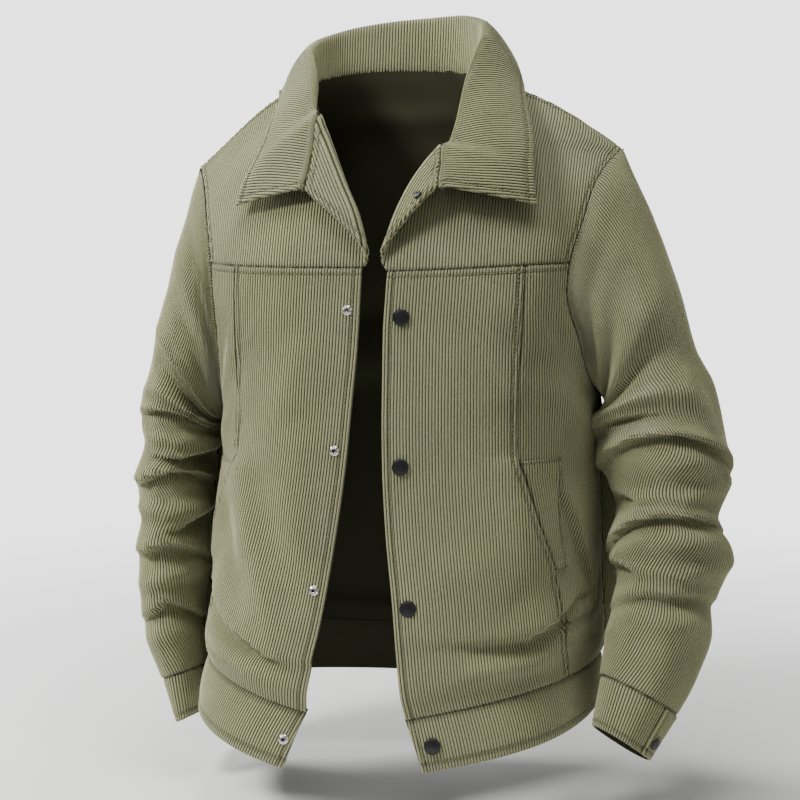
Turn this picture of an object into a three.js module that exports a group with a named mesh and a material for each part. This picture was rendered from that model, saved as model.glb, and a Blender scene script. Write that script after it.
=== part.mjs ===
// Corduroy jacket, worn open, in the hollow form of a general figure.
// Millimetres. +X is the wearer's left, the front faces -Y, +Z is up.
// The origin is the middle of the base of the neck, between the two shoulder rests.
import * as THREE from 'three';

// Driving sizes
const CLOTH = 2.2; // wall of the corduroy panels
const FACING = 1.6; // wall of the lapel and pocket facings
const COLLAR_CLOTH = 3.0; // two layers of corduroy and a stiffener
const BAND_CLOTH = 3.0; // doubled cloth of the hem band and the cuffs
const SEAM_GAP = 0.3; // between neighbouring pieces
const YOKE_LEVEL = -188; // height of the yoke seam
const ARMPIT_LEVEL = -320;
const ROLL_TOP_LEVEL = -60; // where the lapel's roll line meets the neckline
const BAND_LEVEL = -600; // seam between the body and the hem band
const SHOULDER_LEVEL = 0; // shoulder seam
const LAPEL_WIDTH = 42; // flat width of the turned-out corner
const LAPEL_PEAK = 0.59375; // place of the corner along the roll line, at a level of -112
const CAP_DIAMETER = 16;
const STUD_DIAMETER = 9.5;
const LAPEL_SNAP_DIAMETER = 8;
const CUFF_SNAP_DIAMETER = 12;
const CUFF_HEIGHT = 47;
const CUFF_LAP = 0.07; // share of a turn by which the cuff's ends lap

const OLIVE = 0x85835f;
const OLIVE_PALE = 0x8f8d68;
const BLACK_METAL = 0x17181a;
const SILVER = 0xb9bcc0;

const vec = (x, y, z) => new THREE.Vector3(x, y, z);
const mix = THREE.MathUtils.lerp;
const smooth = (t) => THREE.MathUtils.smoothstep(t, 0, 1);
const radians = THREE.MathUtils.degToRad;

// A table is an array of rows with named columns.
function table(names, ...rows) {
  const keys = names.split(' ');
  return rows.map((row) => Object.fromEntries(keys.map((key, i) => [key, row[i]])));
}

// Slope of a table's column at row i, flat at peaks so that nothing overshoots.
function slope(rows, key, column, i) {
  const last = rows.length - 1;
  const step = (k) => (rows[k + 1][column] - rows[k][column]) / (rows[k + 1][key] - rows[k][key]);
  if (i === 0) return step(0);
  if (i === last) return step(last - 1);
  const before = step(i - 1);
  const after = step(i);
  return before * after <= 0 ? 0 : (2 * before * after) / (before + after);
}

// Value of one column at a place between the rows.
function read(rows, key, at, column) {
  const last = rows.length - 1;
  if (at <= rows[0][key]) return rows[0][column];
  if (at >= rows[last][key]) return rows[last][column];
  let i = 0;
  while (at > rows[i + 1][key]) i += 1;
  const span = rows[i + 1][key] - rows[i][key];
  const t = (at - rows[i][key]) / span;
  const m0 = slope(rows, key, column, i) * span;
  const m1 = slope(rows, key, column, i + 1) * span;
  const t2 = t * t;
  const t3 = t2 * t;
  return (2 * t3 - 3 * t2 + 1) * rows[i][column] + (t3 - 2 * t2 + t) * m0
    + (3 * t2 - 2 * t3) * rows[i + 1][column] + (t3 - t2) * m1;
}

const readPoint = (rows, key, at) => vec(
  read(rows, key, at, 'x'),
  read(rows, key, at, 'y'),
  read(rows, key, at, 'z'),
);

// Front edge, lapel roll line and neckline, from the band seam up to the shoulder seam.
const EDGE = {
  left: table('level x y z',
    [-600, 35, -163, -612],
    [-575, 31, -171, -586],
    [-545, 27, -168, -556],
    [-500, 21, -161, -500],
    [-430, 13, -154, -430],
    [-370, 9, -149, -370],
    [-320, 8, -146, -322],
    [-258, 8, -141, -256],
    [-210, 10, -138, -211],
    [-188, 11.5, -136, -190],
    [-150, 20, -121, -152],
    [-118, 32, -105, -120],
    [-90, 46, -90, -95],
    [-60, 61, -73, -74],
    [-30, 69, -36, -42],
    [0, 76, 8, -13]),
  right: table('level x y z',
    [-600, -58, -178, -606],
    [-575, -55, -185, -580],
    [-545, -50, -179, -548],
    [-500, -42, -171, -503],
    [-430, -31, -161, -430],
    [-370, -24, -154, -370],
    [-320, -20, -149, -320],
    [-258, -15, -143, -258],
    [-210, -13, -139, -210],
    [-188, -12.3, -136, -187],
    [-150, -23, -122, -148],
    [-118, -39.6, -105, -116],
    [-90, -56, -85, -84],
    [-60, -78.4, -50, -45],
    [-30, -87, -22, -29],
    [0, -96, 8, -15]),
};

// Side seam, from the band seam up to the armpit.
const SIDE = {
  left: table('level x y z',
    [-600, 197, 8, -581],
    [-578, 201, 10, -563],
    [-550, 201, 12, -545],
    [-500, 198, 14, -497],
    [-430, 196, 16, -430],
    [-370, 193, 16, -372],
    [-320, 195, 5, -318]),
  right: table('level x y z',
    [-600, -193, 5, -576],
    [-578, -199, 8, -560],
    [-550, -198, 10, -545],
    [-500, -193, 12, -500],
    [-430, -190, 14, -438],
    [-370, -184, 14, -386],
    [-320, -183, 3, -345]),
};

// Front half of the armhole, from the armpit up to the shoulder tip.
const ARM_FRONT = {
  left: table('level x y z',
    [-320, 195, 5, -318],
    [-300, 190, -32, -300],
    [-258, 182, -60, -258],
    [-210, 172, -75, -210],
    [-188, 174, -72, -184],
    [-150, 184, -58, -146],
    [-118, 191, -38, -116],
    [-90, 199, -16, -97],
    [-60, 206, 0, -87],
    [-30, 210, 9, -82],
    [0, 212.6, 14, -79.5]),
  right: table('level x y z',
    [-320, -183, 3, -345],
    [-300, -178, -40, -318],
    [-258, -174, -66, -268],
    [-210, -176, -75, -214],
    [-188, -178, -73, -190],
    [-150, -187, -55, -150],
    [-118, -195, -34, -127],
    [-90, -203, -14, -112],
    [-60, -209, 0, -105],
    [-30, -212, 7, -102],
    [0, -213.5, 12, -101]),
};

// Back half of the armhole, from the armpit up to the shoulder tip.
const ARM_BACK = {
  left: table('level x y z',
    [-320, 195, 5, -318],
    [-300, 193, 40, -298],
    [-255, 183, 70, -255],
    [-205, 177, 82, -205],
    [-155, 182, 74, -155],
    [-110, 194, 52, -113],
    [-55, 206, 28, -88],
    [0, 212.6, 14, -79.5]),
  right: table('level x y z',
    [-320, -183, 3, -345],
    [-300, -183, 40, -322],
    [-255, -179, 70, -276],
    [-205, -178, 82, -222],
    [-155, -185, 74, -172],
    [-110, -198, 52, -134],
    [-55, -209, 27, -109],
    [0, -213.5, 12, -101]),
};

// Middle of the back, from the band seam up to the neck.
const BACK_MIDDLE = table('level x y z',
  [-600, 0, 106, -588],
  [-575, 0, 119, -566],
  [-545, 0, 117, -545],
  [-500, 0, 112, -500],
  [-430, 2, 110, -432],
  [-370, 4, 108, -374],
  [-320, 5, 104, -325],
  [-255, 3, 98, -258],
  [-205, 1, 94, -205],
  [-155, -2, 92, -150],
  [-110, -6, 90, -98],
  [-55, -11, 87, -44],
  [0, -16, 84, -2]);

// How far a row of the fronts runs on straight from its ends, and where it heads there.
const FRONT_SHAPE = table('level edge_hold side_hold edge_turn side_turn edge_rise crown',
  [-600, 0.45, 0.38, 0, 90, 0.8, 0],
  [-500, 0.46, 0.38, 0, 90, 0.6, 0],
  [-320, 0.45, 0.36, 0, 90, 0.5, 0],
  [-300, 0.42, 0.34, 0, 80, 0.5, 0],
  [-258, 0.40, 0.32, 0, 66, 0.5, 0],
  [-188, 0.40, 0.33, 0, 50, 0.5, 0],
  [-118, 0.36, 0.30, 5, 42, 0.5, 2],
  [-60, 0.26, 0.30, 16, 26, 0.5, 4],
  [0, 0.33, 0.33, 0, 0, 0.33, 11]);

const BACK_SHAPE = table('level side_hold middle_hold left_turn right_turn',
  [-600, 0.30, 0.42, 96, 90],
  [-560, 0.34, 0.42, 122, 92],
  [-500, 0.40, 0.42, 132, 96],
  [-400, 0.40, 0.42, 130, 96],
  [-350, 0.34, 0.42, 110, 92],
  [-320, 0.30, 0.42, 90, 90],
  [-255, 0.28, 0.42, 60, 60],
  [-205, 0.26, 0.42, 40, 40],
  [-110, 0.26, 0.42, 36, 36],
  [0, 0.26, 0.42, 30, 30]);

// Upright seam of each front: how far it lies to the wearer's side of the middle.
const UPRIGHT_SEAM = {
  left: table('level x',
    [-600, 178],
    [-540, 176],
    [-482, 165],
    [-430, 150],
    [-385, 137],
    [-366, 132],
    [-308, 132],
    [-243, 135],
    [-188, 137]),
  right: table('level x',
    [-600, -176],
    [-540, -179],
    [-480, -182],
    [-440, -179],
    [-400, -164],
    [-362, -150],
    [-310, -146],
    [-250, -145],
    [-188, -146]),
};
const POCKET = { bottom: -482, top: -366, lift: 3.6, facing_top: 44, facing_bottom: 16 };

// Soft folds of the fronts: place across (0 edge, 1 side seam) and up, size in mm, turn in degrees.
const BODY_FOLDS = {
  left: table('across level long wide turn height',
    [0.66, -545, 120, 26, 14, -9],
    [0.42, -560, 90, 24, -8, -4],
    [0.86, -470, 90, 22, 66, -7],
    [0.50, -585, 130, 20, 6, 6],
    [0.80, -300, 90, 24, 52, -4]),
  right: table('across level long wide turn height',
    [0.55, -575, 110, 22, -20, 8],
    [0.62, -535, 70, 20, -38, -7],
    [0.90, -455, 60, 26, 80, 5],
    [0.70, -400, 90, 24, 70, -4],
    [0.85, -270, 80, 26, -50, -3]),
};

// Levels of the rows: those below the armpit, and the armhole's corners, which body and sleeve share.
const LOW_LEVELS = [-600, -589, -578, -564, -550, -525, -500, -478, -450, -422, -395, -368, -345, -320];
const ARM_LEVELS = [-320, -297, -262, -225, -188, -150, -118, -80, -48, -22, 0];

const panelLevels = [
  ...LOW_LEVELS,
  ...ARM_LEVELS.filter((level) => level > ARMPIT_LEVEL && level < YOKE_LEVEL),
  YOKE_LEVEL - SEAM_GAP,
];

const sign = (side) => (side === 'left' ? 1 : -1);

// The armhole runs straight between its corners, so that every piece that ends there meets it.
function onArmhole(rows, level) {
  let i = 0;
  while (i < ARM_LEVELS.length - 2 && level > ARM_LEVELS[i + 1]) i += 1;
  const [low, high] = [ARM_LEVELS[i], ARM_LEVELS[i + 1]];
  const corner = readPoint(rows, 'level', low);
  return corner.lerp(readPoint(rows, 'level', high), (level - low) / (high - low));
}

function seamPoint(side, level, armRows) {
  if (level <= ARMPIT_LEVEL) return readPoint(SIDE[side], 'level', level);
  return onArmhole(armRows[side], level);
}

const sidePoint = (side, level) => seamPoint(side, level, ARM_FRONT);
const backSidePoint = (side, level) => seamPoint(side, level, ARM_BACK);

function bezier(p0, p1, p2, p3, t) {
  const s = 1 - t;
  return vec(0, 0, 0)
    .addScaledVector(p0, s * s * s)
    .addScaledVector(p1, 3 * s * s * t)
    .addScaledVector(p2, 3 * s * t * t)
    .addScaledVector(p3, t * t * t);
}

// Sum of soft ridges and troughs at a place on a front.
function foldHeight(folds, across, level) {
  const panelWidth = 230;
  let height = 0;
  for (const fold of folds) {
    const a = (across - fold.across) * panelWidth;
    const b = level - fold.level;
    const turn = radians(fold.turn);
    const along = (a * Math.cos(turn) + b * Math.sin(turn)) / fold.long;
    const over = (b * Math.cos(turn) - a * Math.sin(turn)) / fold.wide;
    height += fold.height * Math.exp(-2 * along * along - 2 * over * over);
  }
  return height;
}

// Point of a front: across 0 is the front edge, the roll line or the neckline, 1 is the side.
function frontPoint(side, across, level) {
  const edge = readPoint(EDGE[side], 'level', level);
  const end = sidePoint(side, level);
  const shape = (column) => read(FRONT_SHAPE, 'level', level, column);
  const chord = edge.distanceTo(end);
  const edgeTurn = radians(shape('edge_turn'));
  const sideTurn = radians(shape('side_turn'));
  const edgeReach = shape('edge_hold') * chord;
  const sideReach = shape('side_hold') * chord;
  const rise = shape('edge_rise') * (end.z - edge.z);
  const p1 = vec(
    edge.x + sign(side) * Math.cos(edgeTurn) * edgeReach,
    edge.y + Math.sin(edgeTurn) * edgeReach,
    edge.z + rise,
  );
  const drop = level < ARMPIT_LEVEL ? 0 : (end.z - edge.z) * 0.33 * smooth((level + 200) / 200);
  const p2 = vec(
    end.x - sign(side) * Math.cos(sideTurn) * sideReach,
    end.y - Math.sin(sideTurn) * sideReach,
    end.z - drop,
  );
  const point = bezier(edge, p1, p2, end, across);
  point.z += shape('crown') * 4 * across * (1 - across);
  const fade = smooth((level - BAND_LEVEL) / 18) * smooth((1 - across) / 0.1);
  const height = foldHeight(BODY_FOLDS[side], across, level) * fade;
  const outward = vec(point.x * 0.8, point.y, 0).normalize();
  return point.addScaledVector(outward, height);
}

// Shoulder seam and back neck seam: along 0 is the shoulder tip, 1 the middle of the back.
const SHOULDER_SHARE = 0.57;
function topSeam(side, along) {
  if (along <= SHOULDER_SHARE) return frontPoint(side, 1 - along / SHOULDER_SHARE, SHOULDER_LEVEL);
  const neck = readPoint(EDGE[side], 'level', SHOULDER_LEVEL);
  const middle = readPoint(BACK_MIDDLE, 'level', SHOULDER_LEVEL);
  const reach = Math.abs(neck.x - middle.x);
  const p1 = vec(neck.x - sign(side) * 0.06 * reach, neck.y + 42, neck.z + 6);
  const p2 = vec(middle.x + sign(side) * 0.62 * reach, middle.y, middle.z);
  return bezier(neck, p1, p2, middle, (along - SHOULDER_SHARE) / (1 - SHOULDER_SHARE));
}

// Point of the back: across 0 is the side, 1 the middle.
function backPoint(side, across, level) {
  const start = backSidePoint(side, level);
  const middle = readPoint(BACK_MIDDLE, 'level', level);
  const shape = (column) => read(BACK_SHAPE, 'level', level, column);
  const chord = start.distanceTo(middle);
  const turn = radians(shape(`${side}_turn`));
  const p1 = vec(
    start.x - sign(side) * Math.cos(turn) * shape('side_hold') * chord,
    start.y + Math.sin(turn) * shape('side_hold') * chord,
    mix(start.z, middle.z, 0.2),
  );
  const p2 = vec(middle.x + sign(side) * shape('middle_hold') * chord, middle.y, middle.z);
  const point = bezier(start, p1, p2, middle, across);
  if (level <= -110) return point;
  const topRow = bezier(
    readPoint(ARM_BACK[side], 'level', 0),
    topShape(side, 0.26, 30),
    topShape(side, 0.42, null),
    readPoint(BACK_MIDDLE, 'level', 0),
    across,
  );
  const share = smooth((level + 110) / 110);
  return point.addScaledVector(topSeam(side, across).sub(topRow), share);
}

function topShape(side, hold, turn) {
  const start = readPoint(ARM_BACK[side], 'level', 0);
  const middle = readPoint(BACK_MIDDLE, 'level', 0);
  const chord = start.distanceTo(middle);
  if (turn === null) return vec(middle.x + sign(side) * hold * chord, middle.y, middle.z);
  return vec(
    start.x - sign(side) * Math.cos(radians(turn)) * hold * chord,
    start.y + Math.sin(radians(turn)) * hold * chord,
    mix(start.z, middle.z, 0.2),
  );
}

// Joins equal grid points, drops empty faces and gives each point its normal.
function sheetMesh(grid, closed, flip) {
  const points = [];
  const index = new Map();
  const ids = grid.map((row) => row.map((p) => {
    const name = [p.x, p.y, p.z].map((value) => Math.round(value * 500)).join();
    if (!index.has(name)) {
      index.set(name, points.length);
      points.push(p.clone());
    }
    return index.get(name);
  }));
  const faces = [];
  const addFace = (a, b, c) => {
    if (a === b || b === c || a === c) return;
    faces.push(flip ? [a, c, b] : [a, b, c]);
  };
  for (let i = 0; i + 1 < ids.length; i += 1) {
    const columns = ids[i].length;
    for (let j = 0; j < (closed ? columns : columns - 1); j += 1) {
      const next = (j + 1) % columns;
      addFace(ids[i][j], ids[i][next], ids[i + 1][next]);
      addFace(ids[i][j], ids[i + 1][next], ids[i + 1][j]);
    }
  }
  const normals = points.map(() => vec(0, 0, 0));
  for (const [a, b, c] of faces) {
    const ab = points[b].clone().sub(points[a]);
    const ac = points[c].clone().sub(points[a]);
    const normal = ab.cross(ac);
    for (const id of [a, b, c]) normals[id].add(normal);
  }
  normals.forEach((normal) => normal.normalize());
  return { points, ids, faces, normals };
}

// Grid moved along its own normals.
function moved(grid, distance, { closed = false, flip = false } = {}) {
  const sheet = sheetMesh(grid, closed, flip);
  return sheet.ids.map((row) => row.map(
    (id) => sheet.points[id].clone().addScaledVector(sheet.normals[id], distance),
  ));
}

// Normal that two pieces share at a seam, so that their rims lie face to face.
function mitred(point, normal, seams) {
  let best = null;
  let nearest = 1.2;
  for (const seam of seams) {
    const distance = seam.point.distanceTo(point);
    if (distance < nearest) {
      nearest = distance;
      best = seam.normal;
    }
  }
  return best ?? normal;
}

// Closed wall of cloth: the grid is its outer face, and the inner face lies inwards.
function wall(grid, thickness, { closed = false, flip = false, seams = [] } = {}) {
  const { points, faces, normals } = sheetMesh(grid, closed, flip);
  const count = points.length;
  const edges = new Set(faces.flatMap(([a, b, c]) => [`${a},${b}`, `${b},${c}`, `${c},${a}`]));
  const rim = [];
  for (const [a, b, c] of faces) {
    for (const [from, to] of [[a, b], [b, c], [c, a]]) {
      if (!edges.has(`${to},${from}`)) rim.push([from, to]);
    }
  }
  const onRim = new Set(rim.flat());
  const inner = points.map((point, id) => {
    const normal = onRim.has(id) ? mitred(point, normals[id], seams) : normals[id];
    return point.clone().addScaledVector(normal, -thickness);
  });
  const triangles = [];
  for (const [a, b, c] of faces) triangles.push(a, b, c, a + count, c + count, b + count);
  for (const [from, to] of rim) {
    triangles.push(to, from, from + count, to, from + count, to + count);
  }
  const geometry = new THREE.BufferGeometry();
  const flat = [...points, ...inner].flatMap((p) => [p.x, p.y, p.z]);
  geometry.setAttribute('position', new THREE.Float32BufferAttribute(flat, 3));
  geometry.setIndex(triangles);
  geometry.computeVertexNormals();
  return geometry;
}

const steps = (from, to, count) => Array.from(
  { length: count + 1 },
  (_, i) => from + ((to - from) * i) / count,
);

// Numeric normal of a surface given by a function of two values.
function surfaceNormal(surface, a, b, da, db) {
  const alongA = surface(a + da, b).sub(surface(a - da, b));
  const alongB = surface(a, b + db).sub(surface(a, b - db));
  return alongA.cross(alongB).normalize();
}

// Armhole: turn 0 is the shoulder tip, 0.25 the front, 0.5 the armpit, 0.75 the back.
function armholeCorners(side) {
  const down = [...ARM_LEVELS].reverse();
  const corners = [
    ...down.map((level) => ({ level, rows: ARM_FRONT[side] })),
    ...ARM_LEVELS.slice(1).map((level) => ({ level, rows: ARM_BACK[side] })),
  ];
  const half = down.length - 1;
  const points = corners.map(({ level, rows }) => readPoint(rows, 'level', level));
  const lengths = points.slice(1).map((point, i) => point.distanceTo(points[i]));
  const total = (list) => list.reduce((sum, value) => sum + value, 0);
  const front = total(lengths.slice(0, half));
  const back = total(lengths.slice(half));
  const middle = (points[0].z + points[half].z) / 2;
  const reach = (points[0].z - points[half].z) / 2;
  let turn = 0;
  corners.forEach((corner, i) => {
    if (i > 0) turn += (0.5 * lengths[i - 1]) / (i <= half ? front : back);
    corner.turn = turn;
    const angle = Math.acos(THREE.MathUtils.clamp((points[i].z - middle) / reach, -1, 1));
    corner.angle = i <= half ? angle : 2 * Math.PI - angle;
  });
  return corners;
}
const CORNERS = { left: armholeCorners('left'), right: armholeCorners('right') };

function armholePlace(side, turn) {
  const corners = CORNERS[side];
  let i = 0;
  while (i < corners.length - 2 && turn > corners[i + 1].turn) i += 1;
  const share = (turn - corners[i].turn) / (corners[i + 1].turn - corners[i].turn);
  const level = mix(corners[i].level, corners[i + 1].level, share);
  const angle = mix(corners[i].angle, corners[i + 1].angle, share);
  return { level, angle, rows: turn <= 0.5 ? ARM_FRONT[side] : ARM_BACK[side] };
}

function armholePoint(side, turn) {
  const { level, rows } = armholePlace(side, turn);
  return onArmhole(rows, level);
}

// Rings of the sleeves: outer and inner outline, middle, half depth, and how far the front rises.
const SLEEVE = {
  left: table('run out_x out_z in_x in_z y depth rise',
    [0, 212.6, -79.5, 195, -318, 8, 78, 0],
    [45, 230, -119, 200, -324, 5, 77, 0],
    [95, 253, -167, 202, -329, 4, 76, 2],
    [145, 271, -215, 202, -334, 2, 74, 4],
    [205, 288, -273, 203, -340, 0, 72, 8],
    [240, 306, -306, 204, -346, -3, 71, 12],
    [295, 320, -363, 211, -364, -8, 66, 22],
    [327, 326, -391, 206, -387, -12, 70, 26],
    [365, 313, -433, 219, -428, -18, 59, 24],
    [402, 328, -468, 210, -469, -26, 64, 22],
    [446, 311, -514, 219, -500, -38, 56, 14],
    [475, 312, -539, 213, -532, -47, 57, 10],
    [515, 300, -579, 211, -556, -60, 51, 4],
    [555, 281, -617, 208, -582, -74, 43, 0]),
  right: table('run out_x out_z in_x in_z y depth rise',
    [0, -213.5, -101, -183, -345, 8, 78, 0],
    [45, -224, -142, -191, -350, 8, 79, 0],
    [95, -236, -188, -193, -354, 11, 80, 2],
    [145, -248, -236, -193, -358, 13, 80, 4],
    [205, -261, -298, -192, -364, 13, 80, 8],
    [265, -273, -359, -194, -378, 12, 78, 16],
    [295, -268, -388, -197, -402, 10, 70, 20],
    [335, -278, -433, -200, -432, 8, 76, 22],
    [368, -272, -465, -203, -462, 5, 66, 22],
    [402, -277, -500, -203, -497, 2, 72, 20],
    [440, -274, -538, -207, -530, -2, 65, 14],
    [480, -267, -578, -209, -562, -6, 63, 8],
    [528, -248, -624, -204, -607, -12, 56, 0]),
};
const CUFF_END = {
  left: { out_x: 256, out_z: -659, in_x: 201, in_z: -629, y: -84, depth: 38 },
  right: { out_x: -231, out_z: -668, in_x: -202, in_z: -652, y: -17, depth: 52 },
};

// Large folds of the sleeves: place along and round, size, and how far the fold line climbs.
const SLEEVE_FOLDS = {
  left: table('run turn long wide climb height',
    [312, 0.20, 0.20, 13, 0, -7],
    [345, 0.22, 0.18, 13, 0, 6],
    [384, 0.20, 0.20, 12, 0, -7],
    [418, 0.24, 0.18, 14, 0, 5],
    [262, 0.34, 0.14, 14, -30, -6],
    [205, 0.30, 0.12, 18, -50, -4],
    [300, 0.70, 0.18, 15, 0, -6],
    [340, 0.75, 0.18, 15, 0, 5],
    [390, 0.72, 0.18, 14, 0, -6],
    [432, 0.70, 0.16, 14, 0, -4]),
  right: table('run turn long wide climb height',
    [290, 0.22, 0.20, 12, 10, -8],
    [316, 0.22, 0.18, 12, 0, 6],
    [352, 0.22, 0.20, 12, 0, -6],
    [386, 0.22, 0.18, 13, 0, 5],
    [424, 0.22, 0.20, 12, 0, -5],
    [150, 0.20, 0.12, 22, 40, -4],
    [292, 0.72, 0.18, 14, 0, -6],
    [330, 0.75, 0.18, 14, 0, 5],
    [372, 0.72, 0.18, 14, 0, -6],
    [428, 0.72, 0.16, 13, 0, -4]),
};

const sleeveEnd = (side) => SLEEVE[side][SLEEVE[side].length - 1].run;

// Ring of a sleeve or cuff from its outline values.
function ringPoint(ring, lean, angle) {
  const out = vec(ring.out_x, ring.y, ring.out_z);
  const inside = vec(ring.in_x, ring.y, ring.in_z);
  const middle = out.clone().add(inside).multiplyScalar(0.5);
  const half = out.clone().sub(inside).multiplyScalar(0.5);
  const front = vec(0, -Math.cos(lean), Math.sin(lean));
  const point = middle.addScaledVector(half, Math.cos(angle));
  point.addScaledVector(front, ring.depth * Math.sin(angle));
  point.z += ring.rise * Math.sin(angle);
  return point;
}

function sleeveRing(side, run) {
  const rows = SLEEVE[side];
  const ring = {};
  for (const column of Object.keys(rows[0])) ring[column] = read(rows, 'run', run, column);
  return ring;
}

function sleeveLean(side, run) {
  const reach = 30;
  const above = sleeveRing(side, run - reach);
  const below = sleeveRing(side, run + reach);
  const drop = (above.out_z + above.in_z - below.out_z - below.in_z) / 2;
  return Math.atan2(above.y - below.y, Math.max(drop, 10));
}

function sleevePoint(side, run, turn) {
  const { angle } = armholePlace(side, turn);
  const onRing = ringPoint(sleeveRing(side, run), sleeveLean(side, run), angle);
  const share = Math.sin((Math.PI / 2) * Math.min(run / 150, 1));
  const point = armholePoint(side, turn).lerp(onRing, share);
  let height = 0;
  for (const fold of SLEEVE_FOLDS[side]) {
    let round = turn - fold.turn;
    round -= Math.round(round);
    const along = (run - fold.run - fold.climb * round * 4) / fold.wide;
    height += fold.height * Math.exp(-2 * along * along - (round * round) / (fold.long * fold.long));
  }
  const ring = sleeveRing(side, run);
  const middle = vec((ring.out_x + ring.in_x) / 2, ring.y, (ring.out_z + ring.in_z) / 2);
  const outward = point.clone().sub(middle);
  outward.z = 0;
  outward.normalize();
  const fade = smooth((sleeveEnd(side) - run) / 30);
  return point.addScaledVector(outward, height * fade);
}

// Rings are close together where the folds are.
function sleeveRuns(side) {
  const end = sleeveEnd(side);
  return [...steps(0, 240, 9), ...steps(240, end - 70, 17).slice(1), ...steps(end - 70, end, 4).slice(1)];
}

function sleeveGrid(side) {
  const turns = CORNERS[side].slice(0, -1).map((corner) => corner.turn);
  const rows = sleeveRuns(side).map((run) => turns.map((turn) => sleevePoint(side, run, turn)));
  rows[0] = rows[0].map((point, j) => {
    const step = rows[1][j].clone().sub(point).normalize();
    const onBody = bodyNormalAtArmhole(side, turns[j]);
    const valley = step.dot(onBody) > 0 ? 1 : 0;
    const clear = step.addScaledVector(onBody, valley);
    const fromTip = Math.min(turns[j], 1 - turns[j]);
    const more = 1 + 1.5 * Math.max(0, 1 - fromTip / 0.16);
    return point.clone().addScaledVector(clear, 1.2 * SEAM_GAP * more);
  });
  return rows;
}

// Normal of a front or of the back, by a small step across and up.
function bodyNormal(surface, side, across, level) {
  const inside = THREE.MathUtils.clamp(level, BAND_LEVEL + 2, SHOULDER_LEVEL - 2);
  const place = THREE.MathUtils.clamp(across, 0.02, 0.98);
  const onSide = (a, b) => surface(side, a, b);
  return surfaceNormal(onSide, place, inside, 0.01, 1.5).multiplyScalar(sign(side));
}

function bodyNormalAtArmhole(side, turn) {
  const { level } = armholePlace(side, turn);
  const onFront = bodyNormal(frontPoint, side, 1, level);
  const onBack = bodyNormal(backPoint, side, 0, level);
  if (turn === 0 || turn === 0.5) return onFront.add(onBack).normalize();
  return turn < 0.5 ? onFront : onBack;
}

// Normals that neighbouring pieces share along their seams.
function armholeSeams(side) {
  const seams = [];
  const nearTurn = 0.004;
  for (const turn of steps(0, 1, 480).slice(0, -1)) {
    const point = armholePoint(side, turn);
    const alongSleeve = sleevePoint(side, 12, turn).sub(point);
    const ahead = armholePoint(side, (turn + nearTurn) % 1);
    const round = ahead.sub(armholePoint(side, (turn + 1 - nearTurn) % 1));
    const onSleeve = alongSleeve.clone().cross(round).normalize().multiplyScalar(-sign(side));
    const onBody = bodyNormalAtArmhole(side, turn);
    const valley = alongSleeve.normalize().dot(onBody) > 0;
    if (!valley) seams.push({ point, normal: onSleeve.add(onBody).normalize() });
  }
  return seams;
}

function shoulderSeams(side) {
  return steps(0, 1, 200).map((across) => {
    const point = frontPoint(side, across, SHOULDER_LEVEL);
    const onBack = bodyNormal(backPoint, side, (1 - across) * SHOULDER_SHARE, SHOULDER_LEVEL);
    const normal = bodyNormal(frontPoint, side, across, SHOULDER_LEVEL).add(onBack);
    return { point, normal: normal.normalize() };
  });
}

function sideSeams(side) {
  return steps(BAND_LEVEL, ARMPIT_LEVEL, 280).map((level) => {
    const point = sidePoint(side, level);
    const normal = bodyNormal(frontPoint, side, 1, level).add(bodyNormal(backPoint, side, 0, level));
    return { point, normal: normal.normalize() };
  });
}

function yokeSeams(side) {
  return steps(0, 1, 240).map((across) => ({
    point: frontPoint(side, across, YOKE_LEVEL),
    normal: bodyNormal(frontPoint, side, across, YOKE_LEVEL),
  }));
}

// Place across at which a front passes a given x.
function acrossAtX(side, level, x) {
  let low = 0;
  let high = 1;
  for (let i = 0; i < 30; i += 1) {
    const across = (low + high) / 2;
    if (sign(side) * (frontPoint(side, across, level).x - x) < 0) low = across;
    else high = across;
  }
  return (low + high) / 2;
}

const seamAcross = (side, level) => acrossAtX(side, level, read(UPRIGHT_SEAM[side], 'level', level, 'x'));

function uprightSeams(side) {
  return panelLevels.map((level) => {
    const across = seamAcross(side, level);
    return { point: frontPoint(side, across, level), normal: bodyNormal(frontPoint, side, across, level) };
  });
}

const SLEEVE_SEAMS = { left: armholeSeams('left'), right: armholeSeams('right') };
const seamsOf = (side) => [
  ...SLEEVE_SEAMS[side],
  ...shoulderSeams(side),
  ...sideSeams(side),
  ...yokeSeams(side),
  ...uprightSeams(side),
];
const SEAMS = { left: seamsOf('left'), right: seamsOf('right') };

function rowLength(side, level) {
  const points = steps(0, 1, 24).map((across) => frontPoint(side, across, level));
  return points.slice(1).reduce((sum, point, i) => sum + point.distanceTo(points[i]), 0);
}

// 1 at the pocket mouth, 0 away from it.
function pocketShare(level) {
  const ends = 14;
  return smooth((level - POCKET.bottom + ends / 2) / ends) * smooth((POCKET.top + ends / 2 - level) / ends);
}

const PANEL_COLUMNS = 6;
const SIDE_COLUMNS = 4;

// The upright seam's gap widens where the cloth blouses over the band.
const uprightGap = (level) => SEAM_GAP * (level < -530 ? 3.4 : 1);

function frontPanelGrid(side) {
  const rows = panelLevels.map((level) => {
    const end = seamAcross(side, level) - uprightGap(level) / 2 / rowLength(side, level);
    return steps(0, end, PANEL_COLUMNS).map((across) => frontPoint(side, across, level));
  });
  const raised = moved(rows, 1, { flip: side === 'right' });
  return rows.map((row, i) => row.map((point, j) => {
    const near = smooth((j / PANEL_COLUMNS - 0.6) / 0.4);
    return point.clone().lerp(raised[i][j], POCKET.lift * pocketShare(panelLevels[i]) * near);
  }));
}

// Width of the pocket facing, which the side panel's second column follows.
function facingWidth(level) {
  const up = THREE.MathUtils.clamp((level - POCKET.bottom) / (POCKET.top - POCKET.bottom), 0, 1);
  return mix(POCKET.facing_bottom, POCKET.facing_top, up);
}

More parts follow.
